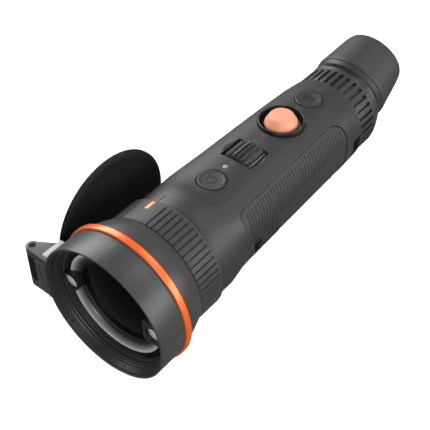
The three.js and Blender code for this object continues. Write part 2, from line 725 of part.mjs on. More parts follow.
// Each key is a cap in the shell's hole, with a collar inside that stops it from falling out.
const roof = bodyTop - wall;
const collarTop = roof - 1.6;
const keyBottom = collarTop - 1.0;
const switchTop = keyBottom - key.travel - 0.1;
const boardTop = switchTop - 1.8;
function keySolid(y) {
  return upright([
    [0, keyBottom],
    [key.radius + key.flange, keyBottom],
    [key.radius + key.flange, collarTop],
    [key.radius - 0.1, collarTop],
    [key.radius - 0.1, bodyTop + key.proud - 0.4],
    [key.radius - 0.6, bodyTop + key.proud],
    [0, bodyTop + key.proud],
  ], 0, y, 24);
}
place("power_key", keySolid(key.powerY), softBlack);
place("capture_key", keySolid(key.captureY), softBlack);
function switchBlock(y, low) {
  return block(-2.5, 2.5, y - 2.5, y + 2.5, low - 0.3, switchTop);
}
const frontBoard = block(-9, 9, key.powerY - 8, light.y + 1.4, boardTop - board.thickness, boardTop);
place("front_key_board", join(frontBoard, switchBlock(key.powerY, boardTop)), boardGreen);
place("status_light", post(light.radius, boardTop + gap, bodyTop + 0.1, light.x, light.y, 12), lampGrey);

// ---- scroll wheel ---------------------------------------------------------------------------------

const wheelShape = new THREE.Shape();
for (let i = 0; i < wheel.ribs; i += 1) {
  const turn = (2 * Math.PI * i) / wheel.ribs;
  const pitch = (2 * Math.PI) / wheel.ribs;
  const corners = [
    ringPoint(wheel.radius, turn),
    ringPoint(wheel.radius, turn + pitch * 0.55),
    ringPoint(wheel.radius - wheel.ribDepth, turn + pitch * 0.68),
    ringPoint(wheel.radius - wheel.ribDepth, turn + pitch * 0.87),
  ];
  corners.forEach((p, k) => (i + k === 0 ? wheelShape.moveTo(p.x, p.y) : wheelShape.lineTo(p.x, p.y)));
}
const wheelBody = new THREE.ExtrudeGeometry(wheelShape, { depth: wheel.width, bevelEnabled: false });
wheelBody.rotateX(Math.PI / 2);
wheelBody.translate(0, wheel.y + wheel.width / 2, wheelZ);
const axleBore = tube(wheel.axle + runningGap, wheel.y - 20, wheel.y + 20, 16).translate(0, 0, wheelZ);
place("scroll_wheel", cut(solidOf(wheelBody), axleBore), rubberGrey);
const axleEnd = cheek + 1.8;
const axle = tube(wheel.axle, wheel.y - axleEnd, wheel.y + axleEnd, 16).translate(0, 0, wheelZ);
place("wheel_axle", axle, steel);
place("wheel_cradle", cut(join(
  block(-5, 5, wheel.y - cradleEnd, wheel.y - cheek, cradleLow, wheelZ + 2.8),
  block(-5, 5, wheel.y + cheek, wheel.y + cradleEnd, cradleLow, wheelZ + 2.8),
  block(-5, 5, wheel.y - cradleEnd, wheel.y + cradleEnd, cradleLow, cradleLow + 1.4),
), axleBore), deepBlack);

// ---- joystick -------------------------------------------------------------------------------------

const rimTop = bodyTop + stick.rim;
const wellFloor = bodyTop - 4.3;
place("joystick_bezel", upright([
  [stick.well, wellFloor - stick.floor],
  [stick.bezel, wellFloor - stick.floor],
  [stick.bezel, rimTop - 0.9],
  [stick.bezel - 0.6, rimTop],
  [stick.well + 0.7, rimTop],
  [stick.well, rimTop - 0.7],
], 0, stick.y, 28), deepBlack);
place("joystick_well_floor", upright([
  [stick.stemHole, wellFloor - stick.floor],
  [stick.well - gap, wellFloor - stick.floor],
  [stick.well - gap, wellFloor],
  [stick.stemHole, wellFloor],
], 0, stick.y, 28), deepBlack);
const capLow = bodyTop - 1.7;
const capTop = bodyTop + stick.height;
const pivotZ = wellFloor - 2.0;
const domeSteps = 5;
const dome = Array.from({ length: domeSteps + 1 }, (_, i) => {
  const turn = (Math.PI / 2) * (i / domeSteps);
  return [stick.cap * Math.cos(turn) ** 0.8, capTop - 3.4 + 3.4 * Math.sin(turn)];
});
dome[domeSteps][0] = 0;
place("joystick_cap", upright([
  [0, pivotZ + 0.5],
  [stick.stem, pivotZ + 0.5],
  [stick.stem, capLow + 0.8],
  [stick.cap - 0.6, capLow],
  ...dome,
], 0, stick.y, 24), stickOrange);
place("joystick_gimbal", post(2.2, pivotZ - 1.2, pivotZ + 0.1, 0, stick.y, 16), steel);
const rearBoardTop = pivotZ - 8.0;
place("joystick_plunger", post(1.6, pivotZ - 3.8, pivotZ - 1.6, 0, stick.y, 16), steel);
const stickSwitchTop = pivotZ - 4.5 - stick.travel + 0.6;
const stickSwitch = block(-4.5, 4.5, stick.y - 4.5, stick.y + 4.5, rearBoardTop + gap, stickSwitchTop);
place("joystick_switch", stickSwitch, deepBlack);
place("rear_key_board", join(
  block(-9, 9, stick.y - 14, key.captureY + 7, rearBoardTop - board.thickness, rearBoardTop),
  switchBlock(key.captureY, rearBoardTop),
), boardGreen);

// ---- rear housing and eyepiece ----------------------------------------------------------------------

const pitch = THREE.MathUtils.degToRad(eye.pitch);
const eyeFrame = new THREE.Group();
eyeFrame.position.set(0, eye.y, eye.z);
eyeFrame.rotation.x = pitch;
device.add(eyeFrame);

// A round section of the rear housing: its centre's height, radius and pitch change along the way.
function neckLoop([y, radius, z, degrees], inset) {
  const lean = THREE.MathUtils.degToRad(degrees);
  return Array.from({ length: fine }, (_, i) => {
    const turn = (2 * Math.PI * i) / fine;
    const up = (radius - inset) * Math.sin(turn);
    const side = (radius - inset) * Math.cos(turn);
    return new THREE.Vector3(side, y - up * Math.sin(lean), z + up * Math.cos(lean));
  });
}
const neckZ = (sectionAt(bodyBack)[2] + sectionAt(bodyBack)[3]) / 2 + 0.2;
const shoulderY = neck.slotBack + 0.8;
const rise = eye.z - neckZ;
const neckSections = [
  [neck.front, neck.radius, neckZ, 0],
  [shoulderY, neck.radius + 0.1, neckZ, 0],
  [shoulderY + 0.45 * (eye.y - shoulderY), neck.radius - 0.7, neckZ + 0.22 * rise, 0.3 * eye.pitch],
  [shoulderY + 0.8 * (eye.y - shoulderY), neck.radius - 2.0, neckZ + 0.65 * rise, 0.7 * eye.pitch],
  [eye.y, diopter.frontRadius + 0.3, eye.z, eye.pitch],
];
const neckOuter = loft(neckSections.map((s) => neckLoop(s, 0)));
const neckInner = loft([
  neckLoop([neck.front + neck.wall, neck.radius, neckZ, 0], neck.wall),
  neckLoop([shoulderY, neck.radius, neckZ, 0], neck.wall),
]);
const spigotFront = bodyBack - 4.5;
const spigot = bodySolid(wall + gap, spigotFront, neck.front + 0.6, cavityPoints);
const spigotBoreEnd = neck.front + neck.wall + 1;
const spigotBore = bodySolid(wall + gap + neck.wall, spigotFront - 1, spigotBoreEnd, cavityPoints);
const eyeBore = new THREE.CylinderGeometry(eye.tube + gap, eye.tube + gap, 40, fine);
eyeBore.rotateX(pitch);
eyeBore.translate(0, eye.y, eye.z);
const neckSlots = Array.from({ length: neck.slots }, (_, i) => {
  const slot = new THREE.BoxGeometry(neck.slotWidth, neck.slotBack - neck.front + 2, 2 * neck.slotDepth);
  slot.translate(0, (neck.slotBack + neck.front - 2) / 2, neck.radius);
  slot.rotateY((2 * Math.PI * (i + 0.5)) / neck.slots);
  slot.translate(0, 0, neckZ);
  return solidOf(slot);
});
const strapRelief = strapSlots
  .filter((slot) => slot.y > bodyBack - 20)
  .map((slot) => strapBox(slot, strap.back + gap, strap.depth + strap.back + gap)
    .intersect(block(-60, 60, 0, neck.front - gap / 2, -60, 60)));
place("rear_housing", cut(
  join(neckOuter, spigot),
  neckInner,
  spigotBore,
  solidOf(eyeBore),
  ...neckSlots,
  ...strapRelief,
), softBlack);

const tubeInner = eye.tube - eye.tubeWall;
place("eyepiece_tube", turned([
  [tubeInner, eye.tubeFront],
  [eye.tube, eye.tubeFront],
  [eye.tube, eye.tubeBack],
  [tubeInner, eye.tubeBack],
], 32), anodised, eyeFrame);
const ringBack = gap + 0.1 + diopter.width;
const ringInner = eye.tube + runningGap;
place("diopter_ring", turned([
  [ringInner, gap + 0.1],
  [diopter.frontRadius, gap + 0.1],
  [diopter.radius, ringBack],
  [diopter.seat, ringBack],
  [diopter.seat, diopter.seatBack],
  [ringInner, diopter.seatBack],
]), softBlack, eyeFrame);
const cupFront = ringBack + gap;
const cupBack = cupFront + cup.length;
const cupInner = eye.tube + gap;
place("eyecup", turned([
  [diopter.seat + gap, cupFront],
  [cup.base - 0.3, cupFront],
  [cup.base, cupFront + 0.4],
  [cup.base - 0.3, cupFront + 3.2],
  [cup.rimRadius + 0.5, cupBack - 3.0],
  [cup.rimRadius, cupBack - 1.0],
  [cup.rimRadius - 0.9, cupBack],
  [cup.lip + 0.6, cupBack - 0.2],
  [cup.lip, cupBack - 1.2],
  [cup.lip, eye.tubeBack + 1.2],
  [cupInner, eye.tubeBack + gap],
  [cupInner, diopter.seatBack + gap],
  [diopter.seat + gap, diopter.seatBack + gap],
]), rubberGrey, eyeFrame);
const eyeCellRadius = tubeInner - runningGap;
const eyeGlass = eyeCellRadius - eyeLens.wall - gap;
const eyeCellBack = eyeLens.front + eyeLens.length;
place("eyepiece_cell", turned([
  [eyeCellRadius - eyeLens.wall, eyeLens.front],
  [eyeCellRadius, eyeLens.front],
  [eyeCellRadius, eyeCellBack],
  [eyeCellRadius - eyeLens.wall, eyeCellBack],
], 32), anodised, eyeFrame);
const eyeLensFront = eyeCellBack - 1.5 - eyeLens.thickness;
const eyeLensSolid = lensSolid(eyeGlass, eyeLensFront, eyeLens.thickness, 40, 80);
const fieldLensSolid = lensSolid(eyeGlass, eyeLens.front + 2.5, eyeLens.thickness, 50, -60);
const displaySolid = block(-8, 8, eye.tubeFront - 6, eye.tubeFront - 3.2, -6.5, 6.5);
place("eye_lens", eyeLensSolid, glass, eyeFrame);
place("field_lens", fieldLensSolid, glass, eyeFrame);
place("display_panel", displaySolid, panelDark, eyeFrame);

// ---- origin: centre of the footprint, at the lowest point -----------------------------------------

const box = new THREE.Box3().setFromObject(device);
device.position.set(-(box.min.x + box.max.x) / 2, -(box.min.y + box.max.y) / 2, -box.min.z);

export default device;
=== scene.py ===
import json
import math

import bmesh
import bpy
from mathutils import Matrix, Vector


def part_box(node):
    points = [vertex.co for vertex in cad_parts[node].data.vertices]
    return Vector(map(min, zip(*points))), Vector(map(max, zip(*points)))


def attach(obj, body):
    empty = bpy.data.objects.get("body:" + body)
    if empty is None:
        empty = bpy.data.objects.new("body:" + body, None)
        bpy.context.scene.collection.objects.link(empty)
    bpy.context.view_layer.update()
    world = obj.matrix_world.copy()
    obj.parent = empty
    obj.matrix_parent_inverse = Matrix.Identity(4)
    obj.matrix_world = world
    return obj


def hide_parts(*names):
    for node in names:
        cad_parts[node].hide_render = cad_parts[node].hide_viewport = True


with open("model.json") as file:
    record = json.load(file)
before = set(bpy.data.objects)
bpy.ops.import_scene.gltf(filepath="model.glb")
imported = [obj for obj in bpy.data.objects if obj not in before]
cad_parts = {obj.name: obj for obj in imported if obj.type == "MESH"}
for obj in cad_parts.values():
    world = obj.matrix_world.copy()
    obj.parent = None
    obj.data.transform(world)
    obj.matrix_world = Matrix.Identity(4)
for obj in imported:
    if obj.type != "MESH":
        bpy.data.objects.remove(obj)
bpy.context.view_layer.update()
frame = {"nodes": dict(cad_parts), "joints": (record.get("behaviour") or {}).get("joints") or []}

nodes = frame["nodes"]
joints = {joint["name"]: joint for joint in frame["joints"]}

# ---- Objective hood ----
# The wide front bell: an aluminium casting, turned on a lathe and sprayed with a fine satin grey paint.
# It screws over the barrel and carries the hinge and the coloured ring in its groove.
# Sizes are millimetres from the middle of its front rim: +Y runs back to the eye and +Z is up.
hood_low, hood_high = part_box("objective_hood")
rim = Vector(((hood_low.x + hood_high.x) / 2, hood_low.y, (hood_low.z + hood_high.z) / 2))
to_frame = Matrix.Translation(rim) @ Matrix.Scale(0.001, 4)


def moved(shape, place):
    """The shape after a turn or a shift."""
    bmesh.ops.transform(shape, matrix=place, verts=shape.verts)
    return shape


def turned(outline, steps=128, corner=0.3, place=Matrix.Identity(4), side=(0, 0)):
    """A piece turned on a lathe from (radius, distance back) corners, each rounded by the corner radius."""
    shape = bmesh.new()
    corners = [shape.verts.new((radius, back, 0)) for radius, back in outline]
    for first, second in zip(corners, corners[1:]):
        shape.edges.new((first, second))
    if outline[0][0] > 0:
        shape.edges.new((corners[-1], corners[0]))
    if corner:
        sharp = [c for c in corners if c.co.x > 1e-6 and len(c.link_edges) == 2]
        bmesh.ops.bevel(
            shape, geom=sharp, offset=corner, segments=3, profile=0.5, affect="VERTICES",
            material=-1, clamp_overlap=True,
        )
    bmesh.ops.spin(
        shape, geom=shape.verts[:] + shape.edges[:], cent=(0, 0, 0), axis=(0, 1, 0),
        angle=math.tau, steps=steps, use_merge=True,
    )
    bmesh.ops.remove_doubles(shape, verts=shape.verts, dist=1e-4)
    bmesh.ops.recalc_face_normals(shape, faces=shape.faces)
    return moved(shape, place @ Matrix.Translation((side[0], 0, side[1])))


def settle(name, shape, body, slot, finish, *stands_for, place=Matrix.Identity(4), sharp=38):
    """Puts a finished shape in the frame, shades it, and says what it rides on and stands for."""
    moved(shape, to_frame @ place)
    mesh = bpy.data.meshes.new(name)
    shape.to_mesh(mesh)
    shape.free()
    mesh.shade_smooth()
    mesh.set_sharp_from_angle(angle=math.radians(sharp))
    mesh.materials.append(finish)
    piece = bpy.data.objects.new(name, mesh)
    bpy.context.scene.collection.objects.link(piece)
    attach(piece, body)
    if stands_for:
        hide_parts(*stands_for)
    return piece


class Amount:
    """A shader socket that sums like a plain number."""

    def __init__(self, recipe, socket):
        self.recipe = recipe
        self.socket = socket

    def worked(self, operation, first, second):
        return self.recipe.add("ShaderNodeMath", {"operation": operation}, {0: first, 1: second})

    def __add__(self, other):
        return self.worked("ADD", self, other)

    def __sub__(self, other):
        return self.worked("SUBTRACT", self, other)

    def __rsub__(self, other):
        return self.worked("SUBTRACT", other, self)

    def __mul__(self, other):
        return self.worked("MULTIPLY", self, other)

    __radd__ = __add__
    __rmul__ = __mul__


class Recipe:
    """One finish and the nodes that make it."""

    def __init__(self, name, **constants):
        self.material = bpy.data.materials.new(name)
        self.material.use_nodes = True
        self.tree = self.material.node_tree
        self.shader = self.tree.nodes["Principled BSDF"]
        for socket, value in constants.items():
            self.shader.inputs[socket.replace("_", " ")].default_value = value
        self.place = self.add("ShaderNodeTexCoord", outlet="Object")

    def add(self, kind, settings=(), sockets=(), outlet=0):
        node = self.tree.nodes.new(kind)
        for name, value in dict(settings).items():
            setattr(node, name, value)
        for name, value in dict(sockets).items():
            self.feed(node.inputs[name], value)
        return Amount(self, node.outputs[outlet])

    def feed(self, socket, value):
        if isinstance(value, Amount):
            self.tree.links.new(value.socket, socket)
        else:
            socket.default_value = value

    def stretched(self, along=(1, 1, 1), shift=(0, 0, 0)):
        sockets = {"Vector": self.place, "Location": shift, "Scale": along}
        return self.add("ShaderNodeMapping", sockets=sockets)

    def reach(self):
        """Distance from the optical axis, in millimetres."""
        centred = self.stretched((1000, 0, 1000), (-1000 * rim.x, 0, -1000 * rim.z))
        return self.add("ShaderNodeVectorMath", {"operation": "LENGTH"}, {0: centred}, outlet="Value")

    def pointed(self):
        """How sharply the surface juts out: above a half at edges, below it in hollows."""
        return self.add("ShaderNodeNewGeometry", outlet="Pointiness")

    def facing(self, blend):
        """0 where the surface faces the eye, 1 where it turns away."""
        return self.add("ShaderNodeLayerWeight", sockets={"Blend": blend}, outlet="Facing")

    def noise(self, scale, detail=2.0, roughness=0.5, place=None):
        sockets = {
            "Vector": place or self.place, "Scale": scale, "Detail": detail, "Roughness": roughness,
        }
        return self.add("ShaderNodeTexNoise", sockets=sockets)

    def between(self, low, high, amount):
        """0 below low, 1 above high, and a straight rise from one to the other."""
        sockets = {"Value": amount, "From Min": low, "From Max": high}
        return self.add("ShaderNodeMapRange", {"clamp": True}, sockets)

    def colour(self, amount, first, second):
        mix = {"data_type": "RGBA", "clamp_factor": True}
        sockets = {0: amount, 6: self.rgba(first), 7: self.rgba(second)}
        return self.add("ShaderNodeMix", mix, sockets, outlet=2)

    def rgba(self, value):
        return value if isinstance(value, Amount) else (*value, 1.0)

    def done(self, base, rough, height=None, depth=0.0, **others):
        """Links the finish; height is bumped by depth, in millimetres."""
        self.feed(self.shader.inputs["Base Color"], base)
        self.feed(self.shader.inputs["Roughness"], rough)
        for socket, value in others.items():
            self.feed(self.shader.inputs[socket.replace("_", " ")], value)
        if height is not None:
            sockets = {"Strength": 1.0, "Distance": depth / 1000, "Height": height}
            self.feed(self.shader.inputs["Normal"], self.add("ShaderNodeBump", sockets=sockets))
        return self.material


def shade(colour, times, plus=0.0):
    """A colour made darker or lighter."""
    return tuple(min(1.0, times * c + plus) for c in colour)


def painted(name, colour, rough, grain, depth, edge_lightening=0.25, **constants):
    """A sprayed or moulded skin: cloudy colour, fine grain, lighter edges (rubbing wear, and where the
    amount is high a painted highlight too), a little dust, and painted shade darkening its hollows.
    """
    recipe = Recipe(name, **constants)
    cloud = recipe.noise(38, 4, 0.6)
    speck = recipe.noise(grain, 3, 0.62)
    patches = recipe.between(0.45, 0.75, recipe.noise(55, 3))
    dust = recipe.between(0.62, 0.78, recipe.noise(900, 2, 0.7)) * patches
    edge = recipe.pointed()
    # Lighter edges where the surface juts out: rubbing wear, and at high amounts a painted highlight as
    # well.
    lightened_edges = recipe.between(0.53, 0.62, edge + 0.03 * (speck - 0.5)) * edge_lightening
    # Painted shade: where the surface dips into a hollow the colour darkens, as if shade fell there.
    painted_hollow_shade = recipe.between(0.0, 1.0, (0.49 - edge) * 12)
    skin = recipe.colour(cloud * 0.7 + speck * 0.3, shade(colour, 0.84), shade(colour, 1.14))
    skin = recipe.colour(lightened_edges, skin, shade(colour, 2.2, 0.04))
    skin = recipe.colour(dust * 0.12, skin, (0.30, 0.30, 0.29))
    skin = recipe.colour(painted_hollow_shade * 0.75, skin, shade(colour, 0.22))
    gloss = rough + 0.10 * (cloud - 0.5) + 0.08 * (speck - 0.5) + 0.12 * dust - 0.10 * lightened_edges
    return recipe.done(skin, gloss, speck, depth)


hood_paint = painted("satin_hood_paint", (0.046, 0.0463, 0.0470), 0.40, 2600, 0.035, edge_lightening=0.35)
hood_shape = turned([
    (34.9, 0.0), (36.0, 0.0), (36.0, 15.2), (34.6, 15.2), (34.6, 19.3), (35.6, 19.3), (33.2, 27.4),
    (32.7, 28.6), (31.4, 32.6), (27.5, 32.6), (27.5, 20.5), (24.0, 20.5), (24.0, 17.0), (25.3, 17.0),
    (25.3, 11.3), (34.9, 11.3),
], steps=160, corner=0.35)
settle("hood_bell", hood_shape, "device_body", "hood_grey", hood_paint, "objective_hood")

# ---- Coloured ring ----
# A thin aluminium ring, turned, dyed bright orange in the anodising bath and pressed into the hood's
# groove. The cutting tool leaves fine lines round it.
ring_recipe = Recipe("orange_anodising", Metallic=0.35, Coat_Weight=0.25, Coat_Roughness=0.18)
ring_lines = ring_recipe.noise(1.0, 2, 0.6, ring_recipe.stretched((60, 5200, 60)))
ring_cloud = ring_recipe.noise(70, 3)
ring_dye = ring_recipe.colour(ring_cloud * 0.6 + ring_lines * 0.4, (0.93, 0.135, 0.022), (1.0, 0.205, 0.05))
ring_gloss = 0.30 + 0.14 * (ring_lines - 0.5) + 0.08 * ring_cloud
ring_finish = ring_recipe.done(ring_dye, ring_gloss, ring_lines, 0.02)
ring_shape = turned([(34.9, 15.5), (37.0, 15.5), (37.0, 19.0), (34.9, 19.0)], steps=160, corner=0.45)
settle("orange_ring", ring_shape, "device_body", "signal_orange", ring_finish, "accent_ring")

# ---- Liner inside the hood ----
# A moulded black nylon cup that hides the casting: a band at the front with small moulding pips, then
# steps with fine baffle grooves that stop stray light. It snaps in behind the hood's lip.
liner_finish = painted("liner_nylon", (0.026, 0.026, 0.027), 0.42, 1900, 0.05, edge_lightening=0.35)
baffles = [(30.8 + 0.16 * (k % 2), 7.7 + 0.33 * k) for k in range(9)]
liner_shape = turned([
    (34.6, 0.6), (34.6, 11.0), (30.8, 11.0), *reversed(baffles), (31.9, 7.4), (32.0, 6.4), (31.8, 5.9),
    (32.25, 5.4), (32.2, 4.6), (32.6, 3.8), (33.4, 3.8), (33.95, 1.0),
], steps=160, corner=0.1)


def carved(block, *tools, how="DIFFERENCE"):
    """The block with each tool's shape cut away from it, or joined to it."""
    holders = []
    for shape in (block, *tools):
        mesh = bpy.data.meshes.new("carving")
        shape.to_mesh(mesh)
        shape.free()
        holder = bpy.data.objects.new("carving", mesh)
        bpy.context.scene.collection.objects.link(holder)
        holders.append(holder)
    for tool in holders[1:]:
        cut = holders[0].modifiers.new("cut", "BOOLEAN")
        cut.operation = how
        cut.solver = "MANIFOLD"
        cut.object = tool
    made = bmesh.new()
    made.from_object(holders[0], bpy.context.evaluated_depsgraph_get())
    for holder in holders:
        mesh = holder.data
        bpy.data.objects.remove(holder)
        bpy.data.meshes.remove(mesh)
    return made


def pip(turn, radius, back, size):
    """A small ball that leaves a round dimple, at a turn in degrees from +X towards +Z."""
    ball = bmesh.new()
    x, z = radius * math.cos(math.radians(turn)), radius * math.sin(math.radians(turn))
    bmesh.ops.create_icosphere(ball, subdivisions=2, radius=size, matrix=Matrix.Translation((x, back, z)))
    return ball


liner_pips = [pip(turn, 33.75, 2.2, 0.42) for turn in range(15, 360, 30)]
liner_shape = carved(liner_shape, *liner_pips)
settle("hood_cup", liner_shape, "device_body", "soft_touch_black", liner_finish, "hood_liner")

# ---- Front lens and its retaining ring ----
# A germanium lens, opaque to the eye, with a hard dark coating that throws back the studio light.
# A black anodised ring with two spanner notches holds its edge.
lens_recipe = Recipe("coated_germanium", Coat_Weight=0.15, Coat_Roughness=0.02, Coat_IOR=1.2, IOR=1.12)
lens_cloud = lens_recipe.noise(45, 3)
lens_specks = lens_recipe.between(0.70, 0.76, lens_recipe.noise(1500, 2, 0.7))
# Painted sheen: the lens colour is a little lighter where its surface turns away from the eye.
lens_tint = lens_recipe.colour(lens_recipe.facing(0.35), (0.0012, 0.0012, 0.0016), (0.004, 0.0045, 0.006))
lens_tint = lens_recipe.colour(lens_specks * 0.04, lens_tint, (0.2, 0.2, 0.2))
# Painted highlight: towards the lens edge the colour lifts to grey, rising with the square of the distance
# from 20 to 27 mm off the axis.
lens_rim_highlight = lens_recipe.between(20.0, 27.0, lens_recipe.reach())
lens_tint = lens_recipe.colour(lens_rim_highlight * lens_rim_highlight, lens_tint, (0.15, 0.153, 0.157))
lens_rough = 0.035 + 0.03 * lens_cloud + 0.12 * lens_specks
lens_finish = lens_recipe.done(lens_tint, lens_rough, lens_cloud, 0.01)


def lens_outline(radius, front, edge, front_curve, back_curve, steps=18):
    """Corners of a lens between two spherical faces that bulge forwards by their curves."""
    def face(curve, back):
        size = abs(curve)
        flat = math.sqrt(size ** 2 - radius ** 2)
        radii = [radius * k / steps for k in range(steps + 1)]
        return [(r, back - math.copysign(math.sqrt(size ** 2 - r ** 2) - flat, curve)) for r in radii]
    return face(front_curve, front) + face(back_curve, front + edge)[::-1]


lens_shape = turned(lens_outline(25.0, 11.3, 5.4, 72, 120), steps=96, corner=0)
settle("front_lens", lens_shape, "device_body", "germanium", lens_finish, "objective_front_lens")


def cuboid(low, high, rounding=0.0, segments=3):
    """A block between two corners with its edges rounded, in millimetres."""
    shape = bmesh.new()
    size = [h - l for l, h in zip(low, high)]
    centre = [(l + h) / 2 for l, h in zip(low, high)]
    bmesh.ops.create_cube(shape, size=1.0, matrix=Matrix.Translation(centre) @ Matrix.Diagonal((*size, 1)))
    if rounding:
        bmesh.ops.bevel(
            shape, geom=shape.edges[:], offset=rounding, segments=segments, profile=0.5,
            affect="EDGES", material=-1,
        )
    return shape


def ring_with_painted_highlight(name, highlight_colour, coated, inner, outer):
    """Black ring painted lighter, up to a bright highlight, towards the outside of the bevel round the
    lens.
    """
    recipe = Recipe(name, Metallic=0.2, Coat_Weight=0.3, Coat_Roughness=0.1)
    reach = recipe.reach()
    rise = recipe.between(inner, outer, reach)
    # Painted highlight: its share rises with the cube of the distance from the axis and stops just past the
    # bevel's outer edge.
    cut = rise * rise * rise * (1 - recipe.between(outer + 0.2, outer + 0.5, reach))
    lines = recipe.noise(1.0, 2, 0.6, recipe.stretched((60, 5200, 60)))
    tone = recipe.colour(cut, coated, highlight_colour)
    tone = recipe.colour(lines * 0.25, tone, coated)
    return recipe.done(tone, 0.42 - 0.22 * cut + 0.08 * lines, lines, 0.01)


# The near-white end of this ring's colour is a painted highlight, a crescent of light on the bevel.
retainer_finish = ring_with_painted_highlight(
    "bevelled_black_ring", (0.92, 0.93, 0.95), (0.010, 0.010, 0.011), 22.0, 27.3,
)
retainer_shape = turned([
    (24.0, 10.95), (24.1, 10.6), (24.7, 9.9), (25.5, 9.2), (26.4, 8.65), (27.3, 8.35), (27.8, 8.6),
    (28.2, 9.8), (28.6, 10.2), (30.5, 10.2), (30.5, 11.0),
], steps=160, corner=0.12)
retainer_shape = carved(
    retainer_shape,
    cuboid((-1.1, 9.0, 28.3), (1.1, 10.7, 30.0), 0.2),
    cuboid((-1.1, 9.0, -30.0), (1.1, 10.7, -28.3), 0.2),
)
settle("lens_ring", retainer_shape, "device_body", "anodised_black", retainer_finish, "lens_retaining_ring")

# ---- Rangefinder eyes ----
# Two coated windows either side of the lens: one in a round turned pocket that sends the pulse, and one
# in a square moulded housing that receives it. Both sit proud of the lens ring.
eye_black = painted("rangefinder_black", (0.012, 0.012, 0.013), 0.42, 2100, 0.03, edge_lightening=0.3)


def corners_of(node):
    """The lowest and highest corners of a part of the model, in millimetres from the hood's rim."""
    low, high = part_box(node)
    return (low - rim) * 1000, (high - rim) * 1000


def middle_of(node):
    """Where a part of the model has its middle, in millimetres from the hood's rim."""
    low, high = corners_of(node)
    return (low + high) / 2


def clouded(name, first, second, grain, rough, swing, depth, blend=None, **constants):
    """Two tones clouded together, or turning from one to the other as the surface turns away."""
    recipe = Recipe(name, **constants)
    cloud = recipe.noise(*grain)
    share = recipe.facing(blend) if blend else cloud
    return recipe.done(recipe.colour(share, first, second), rough + swing * cloud, cloud, depth)


# Painted highlight: the window glass is coloured near-white where it faces the eye and a darker grey as it
# turns away.
eye_finish = clouded(
    "window_glass", (0.86, 0.88, 0.89), (0.34, 0.33, 0.37), (300, 2), 0.05, 0.05, 0.004, blend=0.4,
    Coat_Weight=1.0, Coat_Roughness=0.01, IOR=1.7, Metallic=0.1,
)
sender = middle_of("rangefinder_emitter_window")
receiver = middle_of("rangefinder_receiver_window")
sender_shape = turned([
    (3.95, 5.9), (4.5, 5.6), (5.1, 5.6), (5.1, 9.9), (4.1, 9.2), (4.1, 6.6),
], steps=64, corner=0.2, side=(sender.x, sender.z))
settle("sender_pocket", sender_shape, "device_body", "deep_black", eye_black, "rangefinder_emitter_housing")
window_hole = turned([
    (0, 4.0), (4.6, 4.0), (4.1, 6.3), (4.1, 12.0), (0, 12.0),
], steps=64, corner=0.15, side=(receiver.x, receiver.z))
house_shape = carved(cuboid(*corners_of("rangefinder_receiver_housing"), 0.7), window_hole)
settle("receiver_housing", house_shape, "device_body", "deep_black", eye_black,
       "rangefinder_receiver_housing")
for name, at, node in (
    ("sender_window", sender, "rangefinder_emitter_window"),
    ("receiver_window", receiver, "rangefinder_receiver_window"),
):
    dome = lens_outline(3.8, 6.9, 1.7, 9.0, 900, 8)
    window_shape = turned(dome, steps=48, corner=0, side=(at.x, at.z))
    settle(name, window_shape, "device_body", "clear_glass", eye_finish, node)

# ---- Cover hinge ----
# Two ears and a curved foot, one casting with the hood's paint, screwed to the left of the hood.
# A steel pin runs through both ears and through the cover's knuckle.
upright = Matrix.Rotation(math.radians(90), 4, "X")


def standing(x, y):
    """Stands a turned piece upright at a place across and back."""
    return Matrix.Translation((x, y, 0)) @ upright


pin = Vector(joints["lens_cover_hinge"]["pos_m"]) - rim
pin_x, pin_y = pin.x * 1000, pin.y * 1000
pin_place = standing(pin_x, pin_y)
knuckle_radius, pin_bore = 3.3, 1.7


def prism(outline, low, high, rounding=0.0, place=Matrix.Identity(4)):
    """A flat outline of (x, y) corners pushed up from low to high, its edges rounded."""
    shape = bmesh.new()
    corners = [shape.verts.new((x, y, low)) for x, y in outline]
    floor = shape.faces.new(corners)
    grown = bmesh.ops.extrude_face_region(shape, geom=[floor])["geom"]
    raised = [item for item in grown if isinstance(item, bmesh.types.BMVert)]
    bmesh.ops.translate(shape, vec=(0, 0, high - low), verts=raised)
    bmesh.ops.recalc_face_normals(shape, faces=shape.faces)
    if rounding:
        edges = [edge for edge in shape.edges if edge.calc_face_angle(0) > math.radians(28)]
        bmesh.ops.bevel(
            shape, geom=edges, offset=rounding, segments=2, profile=0.5, affect="EDGES",
            material=-1, clamp_overlap=True,
        )
    moved(shape, place)
    bmesh.ops.recalc_face_normals(shape, faces=shape.faces)
    return shape


def pin_hole():
    """A cutter for the pin's bore through ears and knuckle."""
    return turned([(0, -14), (pin_bore, -14), (pin_bore, 14), (0, 14)], steps=32, corner=0, place=pin_place)


ear_outline = [(-32.0, 0.3), (-32.0, 12.5), (-38.0, 12.5), (pin_x, pin_y + knuckle_radius)]
ear_outline += [
    (pin_x + knuckle_radius * math.cos(turn), pin_y + knuckle_radius * math.sin(turn))
    for turn in (math.radians(degrees) for degrees in range(105, 271, 15))
]
foot_arc = [math.radians(180 + turn) for turn in range(-20, 21, 2)]
foot_outline = [(38.0 * math.cos(turn), 38.0 * math.sin(turn)) for turn in foot_arc]
foot_outline += [(35.5 * math.cos(turn), 35.5 * math.sin(turn)) for turn in reversed(foot_arc)]
stand = Matrix(((1, 0, 0, 0), (0, 0, 1, 0), (0, 1, 0, 0), (0, 0, 0, 1)))
foot_shape = prism(foot_outline, 0.2, 12.5, 0.3, stand)
front_plate = cuboid((-42.4, 0.3, -9.5), (-34.0, 2.2, 9.5), 0.25)
hinge_shape = carved(
    foot_shape,
    prism(ear_outline, 8.5, 12.5, 0.4),
    prism(ear_outline, -12.5, -8.5, 0.4),
    front_plate,
    how="UNION",
)
